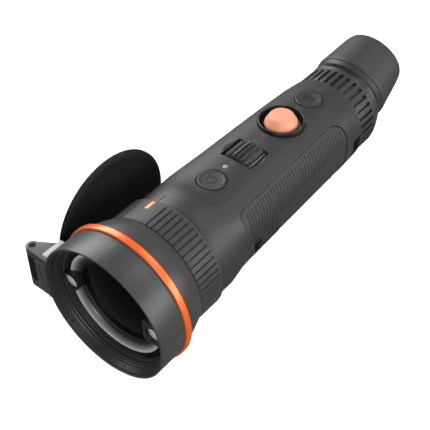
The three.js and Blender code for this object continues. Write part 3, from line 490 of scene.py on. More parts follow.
hinge_shape = carved(
    hinge_shape,
    turned([(0, -1), (36.3, -1), (36.3, 14), (0, 14)], steps=160, corner=0),
    pin_hole(),
    cuboid((-41.7, -1, -6.0), (-40.9, 4, 7.2), 0.3),
    cuboid((-39.9, -1, -6.0), (-39.1, 4, 7.2), 0.3),
)
settle("cover_hinge", hinge_shape, "device_body", "hood_grey", hood_paint, "cover_hinge_bracket")


def machined(name, colour, rough, metal=1.0, along=(60, 4200, 60), depth=0.02, **constants):
    """Turned or drawn metal: fine tool lines, a cloudy tone and a few brighter rubs."""
    recipe = Recipe(name, Metallic=metal, **constants)
    lines = recipe.noise(1.0, 3, 0.6, recipe.stretched(along))
    cloud = recipe.noise(80, 4, 0.6)
    lightened_edges = recipe.between(0.54, 0.64, recipe.pointed() + 0.02 * (cloud - 0.5)) * 0.4
    tone = recipe.colour(cloud * 0.5 + lines * 0.5, shade(colour, 0.8), shade(colour, 1.2))
    tone = recipe.colour(lightened_edges, tone, shade(colour, 1.5, 0.12))
    return recipe.done(tone, rough + 0.16 * (lines - 0.5) + 0.10 * (cloud - 0.5), lines, depth)


facet_outline = [(-38.1, 12.55), (-38.1, 12.8), (-35.4, 16.4), (-30.0, 16.4), (-30.0, 12.55)]
facet = prism(facet_outline, 0.3, 12.2, 0.25, stand)
facet = carved(facet, turned([(0, -1), (36.02, -1), (36.02, 14), (0, 14)], steps=160, corner=0))
# The facet is a pale grey, lighter than the hood paint: a painted highlight between the hinge and the hood.
facet_highlight_finish = machined("facet_painted_highlight", (0.30, 0.30, 0.31), 0.42, metal=0.3, along=(60, 60, 2600))
settle("hinge_facet", facet, "device_body", "hood_grey", facet_highlight_finish)
bright_steel = machined("brushed_steel", (0.55, 0.56, 0.58), 0.28, along=(900, 900, 60))
pin_shape = turned([
    (0, -11.9), (1.1, -11.9), (1.5, -11.5), (1.5, 11.5), (1.1, 11.9), (0.5, 11.9), (0.35, 11.3), (0, 11.3),
], steps=32, corner=0.12, place=pin_place)
black_steel = machined("blackened_steel", (0.030, 0.030, 0.032), 0.34, along=(900, 900, 60))
settle("hinge_pin", pin_shape, "device_body", "steel", black_steel, "cover_hinge_pin")

# ---- Lens cover ----
# A stiff black nylon disc with a raised rim and a shallow dished face, moulded in one with its arm and
# knuckle. It swings right back along the hood, and handling leaves faint scuffs on it.
cover_y = corners_of("lens_cover")[1].y - 36.0
cover_turn = Matrix.Translation((0, cover_y, 0)) @ Matrix.Rotation(math.radians(-90), 4, "Z")
cover_recipe = Recipe("cover_nylon")
cover_cloud = cover_recipe.noise(30, 4, 0.6)
cover_speck = cover_recipe.noise(2300, 3, 0.6)
cover_edge = cover_recipe.between(0.52, 0.58, cover_recipe.pointed())
cover_scrapes = cover_recipe.noise(1.0, 4, 0.6, cover_recipe.stretched((300, 90, 700)))
cover_scuffs = cover_recipe.between(0.60, 0.72, cover_scrapes)
cover_blend = cover_cloud * 0.6 + cover_speck * 0.4
cover_skin = cover_recipe.colour(cover_blend, (0.0045, 0.0045, 0.005), (0.010, 0.010, 0.011))
cover_skin = cover_recipe.colour(cover_edge * 0.08, cover_skin, (0.10, 0.10, 0.10))
cover_skin = cover_recipe.colour(cover_scuffs * 0.06, cover_skin, (0.10, 0.10, 0.10))
cover_gloss = 0.60 + 0.10 * (cover_cloud - 0.5) - 0.10 * cover_scuffs + 0.06 * cover_speck
cover_finish = cover_recipe.done(cover_skin, cover_gloss, cover_speck, 0.04, Specular_IOR_Level=0.22)
cover_shape = turned([
    (0, -40.9), (31.4, -40.9), (32.0, -41.1), (32.8, -41.6), (35.2, -41.6), (36.0, -41.0), (36.0, -39.6),
    (35.2, -38.9), (33.6, -38.6), (31.8, -38.6), (31.3, -39.0), (0, -39.0),
], steps=160, corner=0.25, place=cover_turn)
arm_shape = cuboid((-41.4, 2.6, -8.0), (-38.9, 20.4, 8.0), 0.4)
web_shape = cuboid((pin_x, 2.7, -8.0), (-40.6, 5.6, 8.0), 0.4)
knuckle_shape = turned([
    (0, -8), (knuckle_radius, -8), (knuckle_radius, 8), (0, 8),
], steps=64, corner=0.4, place=pin_place)
cover_shape = carved(cover_shape, arm_shape, web_shape, knuckle_shape, how="UNION")
cover_shape = carved(cover_shape, pin_hole())
settle("folding_cover", cover_shape, "lens_cover", "deep_black", cover_finish, "lens_cover", sharp=24)

# ---- Objective barrel ----
# The black anodised tube that joins hood and body. The focus ring turns on it and a slot in it lets the
# drive pin through to the focusing cell.
barrel_shape = turned([
    (24.6, 20.8), (27.2, 20.8), (27.2, 55.4), (28.2, 55.4), (28.2, 57.2), (27.2, 57.2), (27.2, 59.6),
    (24.6, 59.6),
], steps=128, corner=0.25)
slot_y = middle_of("focus_drive_pin").y
black_anodising = machined("black_anodising", (0.030, 0.030, 0.033), 0.38, metal=0.7)
barrel_shape = carved(barrel_shape, cuboid((-1.5, slot_y - 5.8, 22), (1.5, slot_y + 5.8, 29.5), 0.5))
settle("barrel", barrel_shape, "device_body", "anodised_black", black_anodising, "objective_barrel")

# ---- Focus ring ----
# A moulded rubber ring with sixty grooves cut along it for the fingers, open at the front and stopped
# short of a plain band at the back. A smooth patch holds an orange index mark let into the rubber.
mark_lean = math.radians(17)
focus_turn = math.radians(90) + mark_lean
ring_front, ring_back, ring_top = 33.2, 49.2, 31.0
grooves, groove_half, groove_deep, smooth_half = 60, 0.034, 0.8, math.radians(13)
focus_shape = turned([
    (27.5, ring_front), (29.9, ring_front), (30.6, ring_front + 0.25), (ring_top, ring_front + 1.0),
    (ring_top, ring_front + 5), (ring_top, ring_back - 4), (ring_top, ring_back - 2.0),
    (ring_top, ring_back - 1.5), (ring_top, ring_back - 0.5), (30.6, ring_back), (27.5, ring_back),
], steps=720, corner=0)


def ramp(distance, length):
    """0 before the start of a slope, 1 past its length."""
    return min(1.0, max(0.0, distance / length))


def scored(shape, depth_at):
    """Presses a turned shape inwards by the depth at each reach, turn and distance back."""
    for corner in shape.verts:
        reach = math.hypot(corner.co.x, corner.co.z)
        depth = depth_at(reach, math.atan2(corner.co.z, corner.co.x), corner.co.y)
        corner.co.x *= (reach - depth) / reach
        corner.co.z *= (reach - depth) / reach
    bmesh.ops.recalc_face_normals(shape, faces=shape.faces)


def groove_depth(reach, turn, back):
    """Grooves along the ring, but not on its smooth patch or its rear band."""
    turn -= focus_turn
    if reach < 29.5 or back > ring_back - 1.8 or abs(math.remainder(turn, math.tau)) < smooth_half:
        return 0
    off = abs(math.remainder(turn - math.pi / grooves, math.tau / grooves))
    return groove_deep * ramp(groove_half * 0.50 - off, groove_half * 0.24)


scored(focus_shape, groove_depth)
mark_place = Matrix.Rotation(-mark_lean, 4, "Y")
mark_hole = cuboid((-1.4, 42.0, 29.9), (1.4, 48.6, 33.0))
focus_shape = carved(focus_shape, moved(mark_hole, mark_place))
rubber = painted("grip_rubber", (0.036, 0.037, 0.039), 0.55, 2400, 0.05, edge_lightening=0.5)
settle("focus_grip", focus_shape, "focus_ring", "rubber_grey", rubber, "focus_ring", sharp=30)
mark_shape = cuboid((-1.2, 42.2, 30.1), (1.2, 48.4, 31.05), 0.25)
mark_parts = mark_shape.verts[:] + mark_shape.edges[:] + mark_shape.faces[:]
bmesh.ops.bisect_plane(mark_shape, geom=mark_parts, plane_co=(0, 0, 30), plane_no=(1, 0, 0))
moved(mark_shape, mark_place)
mark_finish = clouded(
    "index_enamel", (0.94, 0.22, 0.055), (1.0, 0.34, 0.12), (400, 3), 0.38, 0.1, 0.02, Coat_Weight=0.2,
)
settle("index_mark", mark_shape, "focus_ring", "signal_orange", mark_finish, "focus_index_mark")

# ---- Focusing cell ----
# Inside the barrel a turned cell carries the focusing lens; a steel pin through the slot ties it to the
# ring. These parts are hidden, so the model's own shapes stay and only get their finishes.
bare_steel = machined("turned_steel", (0.50, 0.51, 0.53), 0.32, along=(700, 700, 700))


def refinish(finish, *names):
    """Gives parts of the model a new finish and leaves their shape alone."""
    for name in names:
        for slot in nodes[name].material_slots:
            slot.material = finish


refinish(black_anodising, "focusing_cell", "shutter")
refinish(bare_steel, "focus_drive_pin", "wheel_axle", "joystick_gimbal", "joystick_plunger",
         "thermal_sensor")
refinish(lens_finish, "focusing_lens")

# ---- Body shells ----
# Two glass-filled nylon shells, split low on the sides and sprayed with soft-touch paint. The round front
# collar takes the barrel; behind it the body flattens under the hand. The keys, wheel and joystick come
# through the top, the tripod boss and screws are underneath, and each side has a recess for a grip panel.
wall, shell_split = 3.0, -12.0
collar_front, body_back = 49.6, 178.5
sections = [
    (49.6, 29.5, 29.5, -29.5, 2.0), (61.0, 29.5, 29.5, -29.5, 2.0), (65.0, 29.1, 28.4, -26.8, 2.1),
    (70.0, 28.5, 26.9, -23.0, 2.3), (76.0, 28.1, 26.3, -21.4, 2.5), (99.4, 27.0, 26.3, -22.4, 2.5),
    (125.4, 26.2, 26.3, -22.7, 2.5), (149.7, 25.5, 26.3, -22.9, 2.45), (167.7, 25.2, 26.2, -23.2, 2.3),
    (178.5, 24.9, 26.0, -23.9, 2.1),
]


def section_at(back):
    """Half width, top, bottom and squareness of the body at a distance back."""
    k = 0
    while k < len(sections) - 2 and back > sections[k + 1][0]:
        k += 1
    share = (back - sections[k][0]) / (sections[k + 1][0] - sections[k][0])
    return [first + share * (second - first) for first, second in zip(sections[k][1:], sections[k + 1][1:])]


def skinned(shape, rings):
    """Joins a row of rings, given by their edges, into one plug with closed ends."""
    for first, second in zip(rings, rings[1:]):
        bmesh.ops.bridge_loops(shape, edges=list(first | second))
    bmesh.ops.contextual_create(shape, geom=list(rings[0]))
    bmesh.ops.contextual_create(shape, geom=list(rings[-1]))
    bmesh.ops.recalc_face_normals(shape, faces=shape.faces)
    return shape


def body_blank(inset, front, back, count=96, ease=0.0):
    """A solid plug of the body's own section, smaller by inset, its front end eased over a short length."""
    shape = bmesh.new()
    steps = sorted({front, back, *(s[0] for s in sections if front + 0.4 < s[0] < back - 0.4)})
    stations = []
    for low, high in zip(steps, steps[1:]):
        parts = max(1, round((high - low) / 4.5))
        stations += [low + (high - low) * k / parts for k in range(parts)]
    stations.append(back)
    extra = [inset] * len(stations)
    if ease:
        stations = [front, front + ease * 0.3, front + ease] + stations[1:]
        extra = [inset + ease, inset + ease * 0.3] + extra
    rings = []
    for station, inward in zip(stations, extra):
        half, top, bottom, power = section_at(station)
        middle, height = (top + bottom) / 2, (top - bottom) / 2 - inward
        ring = bmesh.ops.create_circle(shape, segments=count, radius=1.0)["verts"]
        for corner in ring:
            x = math.copysign(abs(corner.co.x) ** (2 / power), corner.co.x)
            z = math.copysign(abs(corner.co.y) ** (2 / power), corner.co.y)
            corner.co = ((half - inward) * x, station, middle + height * z)
        rings.append({edge for corner in ring for edge in corner.link_edges})
    return skinned(shape, rings)


def post(radius, low, high, x, y, steps=48):
    """An upright round post or hole."""
    outline = [(0, low), (radius, low), (radius, high), (0, high)]
    return turned(outline, steps, 0, standing(x, y))


def side_at(back, height):
    """How far the body's side stands out from the middle plane."""
    half, top, bottom, power = section_at(back)
    share = abs(height - (top + bottom) / 2) / ((top - bottom) / 2)
    return half * max(0.0, 1 - share ** power) ** (1 / power)


def grip_outline(grow):
    """The grip panel seen from the side, as (distance back, height) corners."""
    front, back, top, bottom, corner = 72.5 - grow, 162.5 + 2.4 * grow, 20.6 + grow, -14.0 - grow, 11.0
    corners = [(front, bottom + 1.5), (front + 1.5, bottom), (back - corner / 2, bottom)]
    corners += [
        (back - corner / 2 * (1 - t) ** 2, bottom + corner / 2 * t ** 2)
        for t in (0.2, 0.4, 0.6, 0.8)
    ]
    corners += [(back, bottom + corner / 2), (back, top - corner)]
    corners += [
        (back - corner * t ** 2, top - corner * (1 - t) ** 2)
        for t in (0.15, 0.3, 0.45, 0.6, 0.75, 0.9)
    ]
    corners += [(back - corner, top), (front + 4, top)]
    corners += [(front + 4 * (1 - t) ** 2, top - 4 * t ** 2) for t in (0.25, 0.5, 0.75)]
    return corners + [(front, top - 4)]


def side_prism(grow, side):
    """The grip panel's outline pushed out sideways through the body's wall."""
    lie = Matrix(((0, 0, side, 0), (1, 0, 0, 0), (0, 1, 0, 0), (0, 0, 0, 1)))
    return prism(grip_outline(grow), 10, 40, place=lie)


strap_bars = {name: middle_of(name) for name in sorted(nodes) if name.startswith("strap_bar_")}
strap_half_length, strap_half_height, bar_bore = 3.7, 4.75, 1.25


def strap_box(bar, grow, deep, reach):
    """A box round a strap bar, from deep inside the wall to reach outside it."""
    skin = side_at(bar.y, bar.z)
    near, far = skin - deep, skin + reach
    low, high = (near, far) if bar.x > 0 else (-far, -near)
    along, up = strap_half_length + grow, strap_half_height + grow
    return cuboid((low, bar.y - along, bar.z - up), (high, bar.y + along, bar.z + up))


def bar_hole(bar):
    """A cutter for the upright hole that a strap bar sits in."""
    return post(bar_bore, bar.z - 6.7, bar.z + 6.7, bar.x, bar.y, 24)


def case_screws():
    """Places of the four case screws, across and back."""
    return [middle_of(f"case_screw_{k}") for k in (1, 2, 3, 4)]


power_y, capture_y = middle_of("power_key").y, middle_of("capture_key").y
wheel_y, stick_y = middle_of("scroll_wheel").y, middle_of("joystick_cap").y
lamp = middle_of("status_light")
tripod_y = middle_of("tripod_insert").y
usb_y = middle_of("usb_connector").y


def hollow_shell(keep_low, keep_high):
    """The body's wall between two heights, with everything cut that both shells share."""
    outer = body_blank(0, collar_front, body_back, ease=0.6)
    room = body_blank(wall, 60.7, body_back + 1, 64)
    bore = turned([
        (0, 49), (27.5, 49), (27.5, 55.1), (28.5, 55.1), (28.5, 57.5), (27.5, 57.5), (27.5, 61.2),
        (0, 61.2),
    ], steps=96, corner=0)
    shell = carved(outer, room, bore)
    lugs = [strap_box(bar, 1.2, 6.4, -2.0) for bar in strap_bars.values()]
    posts = [
        carved(post(3.2, -24.0, 0.0, at.x, at.y, 24), body_blank(1.5, 62, 177), how="INTERSECT")
        for at in case_screws()
    ]
    shell = carved(shell, *lugs, *posts, how="UNION")
    recesses = [carved(side_prism(0.3, side), body_blank(1.5, 69, 166)) for side in (1, -1)]
    pockets = [strap_box(bar, 0, 5.2, 4) for bar in strap_bars.values()]
    bars = [bar_hole(bar) for bar in strap_bars.values()]
    far = cuboid((-60, 0, keep_high), (60, 220, 90))
    near = cuboid((-60, 0, -90), (60, 220, keep_low))
    return carved(shell, *recesses, *pockets, *bars, far, near)


soft_paint = painted("soft_touch_paint", (0.029, 0.0291, 0.0296), 0.48, 2300, 0.04, edge_lightening=0.3)
upper = hollow_shell(shell_split + 0.15, 60)
dish = bmesh.new()
bmesh.ops.create_uvsphere(
    dish, u_segments=64, v_segments=32, radius=1.0,
    matrix=Matrix.Translation((0, wheel_y, 28.3)) @ Matrix.Diagonal((16.0, 8.9, 4.3, 1)),
)
key_hole = [(0, 0), (7.55, 0), (7.55, 25.6), (8.0, 26.4), (8.3, 32), (0, 32)]
stick_hole = [(0, 0), (12.5, 0), (12.5, 25.7), (12.9, 26.6), (13.6, 27.4), (13.6, 32), (0, 32)]
wheel_slot_half = 7.8
upper = carved(
    upper,
    turned(key_hole, 96, 0.1, standing(0, power_y)),
    turned(key_hole, 96, 0.1, standing(0, capture_y)),
    post(1.5, 0, 32, lamp.x, lamp.y, 32),
    turned(stick_hole, 128, 0.1, standing(0, stick_y)),
    cuboid((-9.3, wheel_y - wheel_slot_half, -10), (9.3, wheel_y + wheel_slot_half, 32)),
    cuboid((-11.0, wheel_y - wheel_slot_half, -10), (11.0, wheel_y + wheel_slot_half, 24.1)),
    dish,
)
tick = cuboid((-0.22, 51.2, 28.9), (0.22, 55.6, 31.0))
upper = carved(upper, moved(tick, mark_place))
settle("top_shell", upper, "device_body", "soft_touch_black", soft_paint, "upper_shell", sharp=32)

lower = hollow_shell(-60, shell_split - 0.15)
insert_low = corners_of("tripod_insert")[0].z
boss = [
    (0, insert_low - 0.2), (8.4, insert_low - 0.2), (9.0, insert_low + 0.4), (9.0, -18.6), (0, -18.6),
]
lower = carved(
    lower,
    turned(boss, 96, 0.15, standing(0, tripod_y)),
    post(6.6, insert_low + 1, insert_low + 10.8, 0, tripod_y, 48),
    how="UNION",
)
flap_low, flap_high = corners_of("usb_port_cover")
flap_seat = carved(
    cuboid((flap_low.x - 0.3, flap_low.y - 0.3, -29), (flap_high.x + 0.3, flap_high.y + 0.3, -19)),
    body_blank(1.5, flap_low.y - 4, flap_high.y + 3),
)
lower = carved(
    lower,
    post(4.9, insert_low - 3, insert_low + 9.1, 0, tripod_y, 48),
    flap_seat,
    cuboid((-4.75, usb_y - 1.9, -28), (4.75, usb_y + 1.9, -17)),
    *[post(2.7, -28, -15.2, at.x, at.y, 32) for at in case_screws()],
    *[post(1.4, -28, -3, at.x, at.y, 24) for at in case_screws()],
)
settle("bottom_shell", lower, "device_body", "soft_touch_black", soft_paint, "lower_shell", sharp=32)

# ---- Grip panels ----
# Thin rubber skins set flush in each side. Fine upright ribs sway across them like reeds, and from a
# slanting crease downwards the rear part is left plain. They are moulded on the flat and glued in.
grip_rubber = painted("grip_panel_rubber", (0.030, 0.0305, 0.0325), 0.56, 2600, 0.04, edge_lightening=0.55)
rib_pitch, rib_deep, crease_deep = 2.35, 0.95, 0.26
panel_middle, panel_height, panel_length, panel_tall, panel_thick = 117.5, 3.3, 94, 38, 1.2


def rib_depth(back, height):
    """How deep the rubber's face lies under the body's skin at a point of the panel."""
    sway = 1.3 * math.sin((height + 6) * 0.17) + 0.6 * math.sin(back * 0.07)
    wave = 0.5 + 0.5 * math.cos(math.tau * (back + sway) / rib_pitch)
    crease = 4.6 + (back - 98.0) * 0.0517
    under = ramp(crease - height, 0.8) * ramp(back - 97.0 - 0.35 * (crease - height), 1.2)
    border = ramp(back - 74.2, 1.0) * ramp(160.6 - back, 1.0)
    border *= ramp(19.4 - height, 0.8) * ramp(height + 12.8, 0.8)
    return rib_deep * wave ** 3 * (1 - under) * border + crease_deep * under


for side, sign in (("right", 1), ("left", -1)):
    skin = bmesh.new()
    bmesh.ops.create_grid(skin, x_segments=340, y_segments=42, size=0.5)
    grown = bmesh.ops.extrude_face_region(skin, geom=skin.faces[:])["geom"]
    fronts = {item for item in grown if isinstance(item, bmesh.types.BMVert)}
    for corner in skin.verts:
        back = panel_middle + corner.co.x * panel_length
        height = panel_height + corner.co.y * panel_tall
        inward = rib_depth(back, height) if corner in fronts else panel_thick
        corner.co = (sign * (side_at(back, height) - inward), back, height)
    bmesh.ops.recalc_face_normals(skin, faces=skin.faces)
    trimmed = carved(skin, side_prism(0, sign), how="INTERSECT")
    bars = [bar for bar in strap_bars.values() if bar.x * sign > 0]
    cuts = [strap_box(bar, 0.3, 5.2, 4) for bar in bars]
    cuts += [bar_hole(bar) for bar in bars]
    trimmed = carved(trimmed, *cuts)
    settle(f"grip_{side}", trimmed, "device_body", "rubber_grey", grip_rubber, f"grip_panel_{side}",
           sharp=50)

# ---- Strap bars and case screws ----
# Short blued steel bars across the strap pockets, pushed in from inside, and four blackened case screws
# with six-sided sockets in counterbores underneath.
blued_steel = machined("blued_steel", (0.105, 0.106, 0.11), 0.42, metal=0.5, along=(900, 900, 60))
bar_radius, bar_half = 0.95, 6.35
for name, bar in strap_bars.items():
    bar_shape = turned([
        (0, -bar_half), (bar_radius, -bar_half), (bar_radius, bar_half), (0, bar_half),
    ], 32, 0.2, Matrix.Translation(bar) @ upright)
    settle(name.replace("strap_bar", "strap_pin"), bar_shape, "device_body", "steel", blued_steel, name)
for k, at in enumerate(case_screws(), 1):
    low, high = (corner.z for corner in corners_of(f"case_screw_{k}"))
    shank = [(1.1 - 0.12 * (j % 2), low + 1.6 + 0.4 * j) for j in range(1, 24)]
    screw_shape = turned([
        (0, low), (2.1, low), (2.4, low + 0.3), (2.4, low + 1.6), (1.1, low + 1.6), *shank,
        (0.6, high), (0, high),
    ], 40, 0.05, standing(at.x, at.y))
    socket = bmesh.new()
    bmesh.ops.create_cone(socket, cap_ends=True, segments=6, radius1=1.15, radius2=1.15, depth=2.0,
                          matrix=Matrix.Translation((at.x, at.y, low + 0.1)))
    screw_shape = carved(screw_shape, socket)
    settle(f"socket_screw_{k}", screw_shape, "device_body", "steel", black_steel, f"case_screw_{k}")

# ---- Tripod insert ----
# A turned brass nut moulded into the boss, with the usual coarse thread cut down its bore.
brass = machined("turned_brass", (0.72, 0.50, 0.22), 0.30, along=(700, 700, 2600))
thread = [(3.0 + 0.35 * (k % 2), insert_low + 0.5 + 0.64 * k) for k in range(13)]
insert_shape = turned([
    (3.5, insert_low), (4.6, insert_low), (4.6, insert_low + 8.8), (3.3, insert_low + 8.8),
    *reversed(thread),
], 64, 0.06, standing(0, tripod_y))
settle("tripod_nut", insert_shape, "device_body", "brass", brass, "tripod_insert")

# ---- Charging socket and its flap ----
# A drawn steel connector shell with a black tongue sits under a soft rubber flap, which lifts by a finger
# notch and bends about its front edge.
port_low, port_high = corners_of("usb_connector")
port_wall = Vector((0.45, 0.45, 0))
mouth = cuboid(port_low + port_wall - Vector((0, 0, 1)), port_high - port_wall - Vector((0, 0, 1.2)), 0.7)
port_shape = carved(cuboid(port_low, port_high, 1.1, 4), mouth)
tongue = cuboid((-3.3, usb_y - 0.35, port_low.z + 1.0), (3.3, usb_y + 0.35, port_high.z - 0.6), 0.15)
port_shape = carved(port_shape, tongue, how="UNION")
settle("charging_socket", port_shape, "device_body", "steel", bright_steel, "usb_connector")
flap_shape = carved(
    cuboid((flap_low.x, flap_low.y, -30), (flap_high.x, flap_high.y, -18), 0.8),
    body_blank(0, flap_low.y - 4, flap_high.y + 3),
    how="INTERSECT",
)
flap_shape = carved(
    flap_shape,
    body_blank(1.2, flap_low.y - 4, flap_high.y + 3),
    cuboid((-2.4, flap_high.y - 1.5, -26), (2.4, flap_high.y - 0.7, -22.9), 0.2),
)
settle("socket_flap", flap_shape, "usb_cover", "rubber_grey", rubber, "usb_port_cover")

# ---- Keys ----
# Moulded caps in the same soft-touch paint, each dished and set in a round hole. The front one has a plain
# power sign cut in it, the rear one a little camera outline in a hollow that leaves a crescent at its edge.
key_top = 26.65


def key_blank(y):
    """A round key with its collar and a dished top."""
    return turned([
        (0, 20.7), (8.4, 20.7), (8.4, 21.7), (7.2, 21.7), (7.2, 26.25), (6.8, 26.62), (6.1, key_top),
        (5.7, 26.5), (4.6, 26.42), (3.0, 26.36), (0, 26.34),
    ], 96, 0.12, standing(0, y))


def arc_cutter(radius, width, y, start, sweep):
    """A curved cutter that leaves a groove along part of a circle, angles in degrees from +X."""
    shape = bmesh.new()
    low, high = radius - width / 2, radius + width / 2
    outline = ((low, 25.95), (high, 25.95), (high, 28.0), (low, 28.0))
    face = shape.faces.new([shape.verts.new((r, 0, z)) for r, z in outline])
    bmesh.ops.spin(shape, geom=[face], cent=(0, 0, 0), axis=(0, 0, 1), angle=math.radians(sweep), steps=28)
    bmesh.ops.recalc_face_normals(shape, faces=shape.faces)
    place = Matrix.Translation((0, y, 0)) @ Matrix.Rotation(math.radians(start), 4, "Z")
    return moved(shape, place)


power_shape = carved(
    key_blank(power_y),
    arc_cutter(2.3, 0.42, power_y, 125, 290),
    cuboid((-0.21, power_y + 0.4, 26.12), (0.21, power_y + 2.8, 28.0)),
)
settle("power_button", power_shape, "power_key", "soft_touch_black", soft_paint, "power_key")
frame_bars = [
    ((-2.7, -1.9), (2.7, -1.5)), ((-2.7, 1.5), (-1.0, 1.9)), ((1.0, 1.5), (2.7, 1.9)),
    ((-2.7, -1.5), (-2.3, 1.5)), ((2.3, -1.5), (2.7, 1.5)), ((-1.0, 2.2), (1.0, 2.6)),
]
capture_cutters = [
    cuboid((low[0], capture_y + low[1], 25.85), (high[0], capture_y + high[1], 28.0))
    for low, high in frame_bars
]
thumb_hollow = bmesh.new()
bmesh.ops.create_uvsphere(thumb_hollow, u_segments=160, v_segments=240, radius=30,
                          matrix=Matrix.Translation((0.7, capture_y + 1.0, key_top + 29.48)))
capture_shape = carved(
    key_blank(capture_y), thumb_hollow, *capture_cutters, arc_cutter(1.0, 0.36, capture_y, 20, 320),
)
settle("capture_button", capture_shape, "capture_key", "soft_touch_black", soft_paint, "capture_key")

# ---- Status light ----
# A tiny frosted light pipe, grey when it is off, pushed up through the top shell.
lamp_low, lamp_high = (corner.z for corner in corners_of("status_light"))
lamp_finish = clouded(
    "frosted_light_pipe", (0.30, 0.30, 0.30), (0.42, 0.42, 0.42), (900, 3), 0.35, 0.15, 0.02,
    Subsurface_Weight=0.2, Coat_Weight=0.3,
)
lamp_shape = turned([
    (0, lamp_low), (0.9, lamp_low), (0.9, lamp_high - 1.6), (1.35, lamp_high - 1.2),
    (1.35, lamp_high - 0.25), (1.0, lamp_high - 0.05), (0, lamp_high),
], 32, 0.05, standing(lamp.x, lamp.y))
settle("light_pipe", lamp_shape, "device_body", "lamp_grey", lamp_finish, "status_light")

# ---- Scroll wheel ----
# A rubber-coated wheel on a steel axle across a black cradle. Its ribs run straight across the tread and
# its rims are chamfered.
wheel_z = (Vector(joints["scroll_wheel_turn"]["pos_m"]).z - rim.z) * 1000
# The rib edges are lightened strongly here: rubbing wear, and also a painted highlight along the ribs.
wheel_rubber = painted("wheel_rubber", (0.022, 0.0222, 0.023), 0.34, 2600, 0.03, edge_lightening=1.0)
ribs, wheel_half, wheel_reach = 24, 7.3, 10.5
gap_half, gap_ease, gap_deep = 0.86, 0.38, 1.3
wheel_shape = turned([
    (1.7, -wheel_half), (8.9, -wheel_half), (9.6, -wheel_half + 0.15), (wheel_reach, -wheel_half + 0.9),
    (wheel_reach, -2), (wheel_reach, 2), (wheel_reach, wheel_half - 0.9), (9.6, wheel_half - 0.15),
    (8.9, wheel_half), (1.7, wheel_half),
], steps=288, corner=0)


def tread_depth(reach, turn, back):
    """Gaps between the ribs, cut straight across the tread."""
    off = abs(math.remainder(turn - 0.06, math.tau / ribs)) * reach
    return gap_deep * ramp(gap_half - off, gap_ease) if reach >= 9.7 else 0


scored(wheel_shape, tread_depth)
settle("thumb_wheel", wheel_shape, "scroll_wheel", "rubber_grey", wheel_rubber, "scroll_wheel",
       place=Matrix.Translation((0, wheel_y, wheel_z)), sharp=30)
refinish(eye_black, "wheel_cradle", "joystick_switch")

# ---- Joystick ----
# A soft orange thumb cap, bell-shaped with a flattened crown, stands on a stem in a black well. The well
# is one moulding with a raised lip round it, pressed into the top shell.
stick_black = painted("joystick_well", (0.008, 0.008, 0.009), 0.36, 2200, 0.03, edge_lightening=0.8)
bezel_shape = turned([
    (4.2, 20.6), (12.3, 20.6), (12.3, 27.0), (12.15, 27.6), (11.8, 27.9), (11.45, 27.75), (11.3, 27.3),
    (11.25, 26.6), (11.2, 23.0), (10.4, 22.2), (9.4, 22.0), (4.2, 22.0),
], 128, 0.12, standing(0, stick_y))
settle("joystick_well", bezel_shape, "device_body", "deep_black", stick_black,
       "joystick_bezel", "joystick_well_floor")
stick_recipe = Recipe("orange_soft_rubber", Sheen_Weight=0.12, Subsurface_Weight=0.06)
stick_cloud = stick_recipe.noise(110, 4, 0.6)
stick_speck = stick_recipe.noise(1900, 3, 0.6)
stick_grime = stick_recipe.between(0.66, 0.74, stick_recipe.noise(1300, 2, 0.6))
stick_blend = stick_cloud * 0.6 + stick_speck * 0.4
stick_tone = stick_recipe.colour(stick_blend, (0.90, 0.30, 0.165), (1.0, 0.42, 0.26))
stick_tone = stick_recipe.colour(stick_grime * 0.35, stick_tone, (0.42, 0.12, 0.06))
stick_finish = stick_recipe.done(stick_tone, 0.45 + 0.12 * stick_speck, stick_speck, 0.05)
cap_shape = turned([
    (0, 20.5), (1.8, 20.5), (1.8, 25.0), (4.0, 25.1), (7.9, 24.7), (8.45, 24.5), (8.8, 24.9), (8.85, 25.6),
    (8.65, 26.4), (8.2, 27.3), (7.55, 28.4), (6.9, 29.5), (6.35, 30.25), (5.6, 30.75), (4.4, 31.0),
    (2.6, 31.1), (0, 31.15),
], 96, 0.12, standing(0, stick_y))
settle("thumb_cap", cap_shape, "joystick_cap", "stick_orange", stick_finish, "joystick_cap")

# ---- Electronics and battery ----
# The sensor, green boards, switches, display and the shrink-wrapped cell are hidden inside the shells,
# so they keep the model's shapes and get their own finishes.
board_recipe = Recipe("solder_mask", Coat_Weight=0.5)
board_lines = board_recipe.noise(1.0, 1, 0.3, board_recipe.stretched((900, 160, 900)))
board_tracks = board_recipe.between(0.50, 0.54, board_lines)
board_tone = board_recipe.colour(board_tracks, (0.010, 0.115, 0.045), (0.020, 0.190, 0.080))
refinish(board_recipe.done(board_tone, 0.42 - 0.1 * board_tracks, board_tracks, 0.03),
         "sensor_board", "main_board", "front_key_board", "rear_key_board")
wrap_recipe = Recipe("shrink_wrap", Coat_Weight=0.6, Coat_Roughness=0.12)
wrap_creases = wrap_recipe.noise(1.0, 4, 0.6, wrap_recipe.stretched((260, 40, 260)))
wrap_tone = wrap_recipe.colour(wrap_creases, (0.03, 0.11, 0.32), (0.06, 0.18, 0.46))
refinish(wrap_recipe.done(wrap_tone, 0.30 + 0.15 * wrap_creases, wrap_creases, 0.08), "battery_cell")
display_finish = clouded(
    "display_glass", (0.008, 0.008, 0.012), (0.016, 0.016, 0.024), (2600, 1), 0.08, 0.06, 0.005,
    Coat_Weight=1.0, Coat_Roughness=0.02,
)
refinish(display_finish, "display_panel")

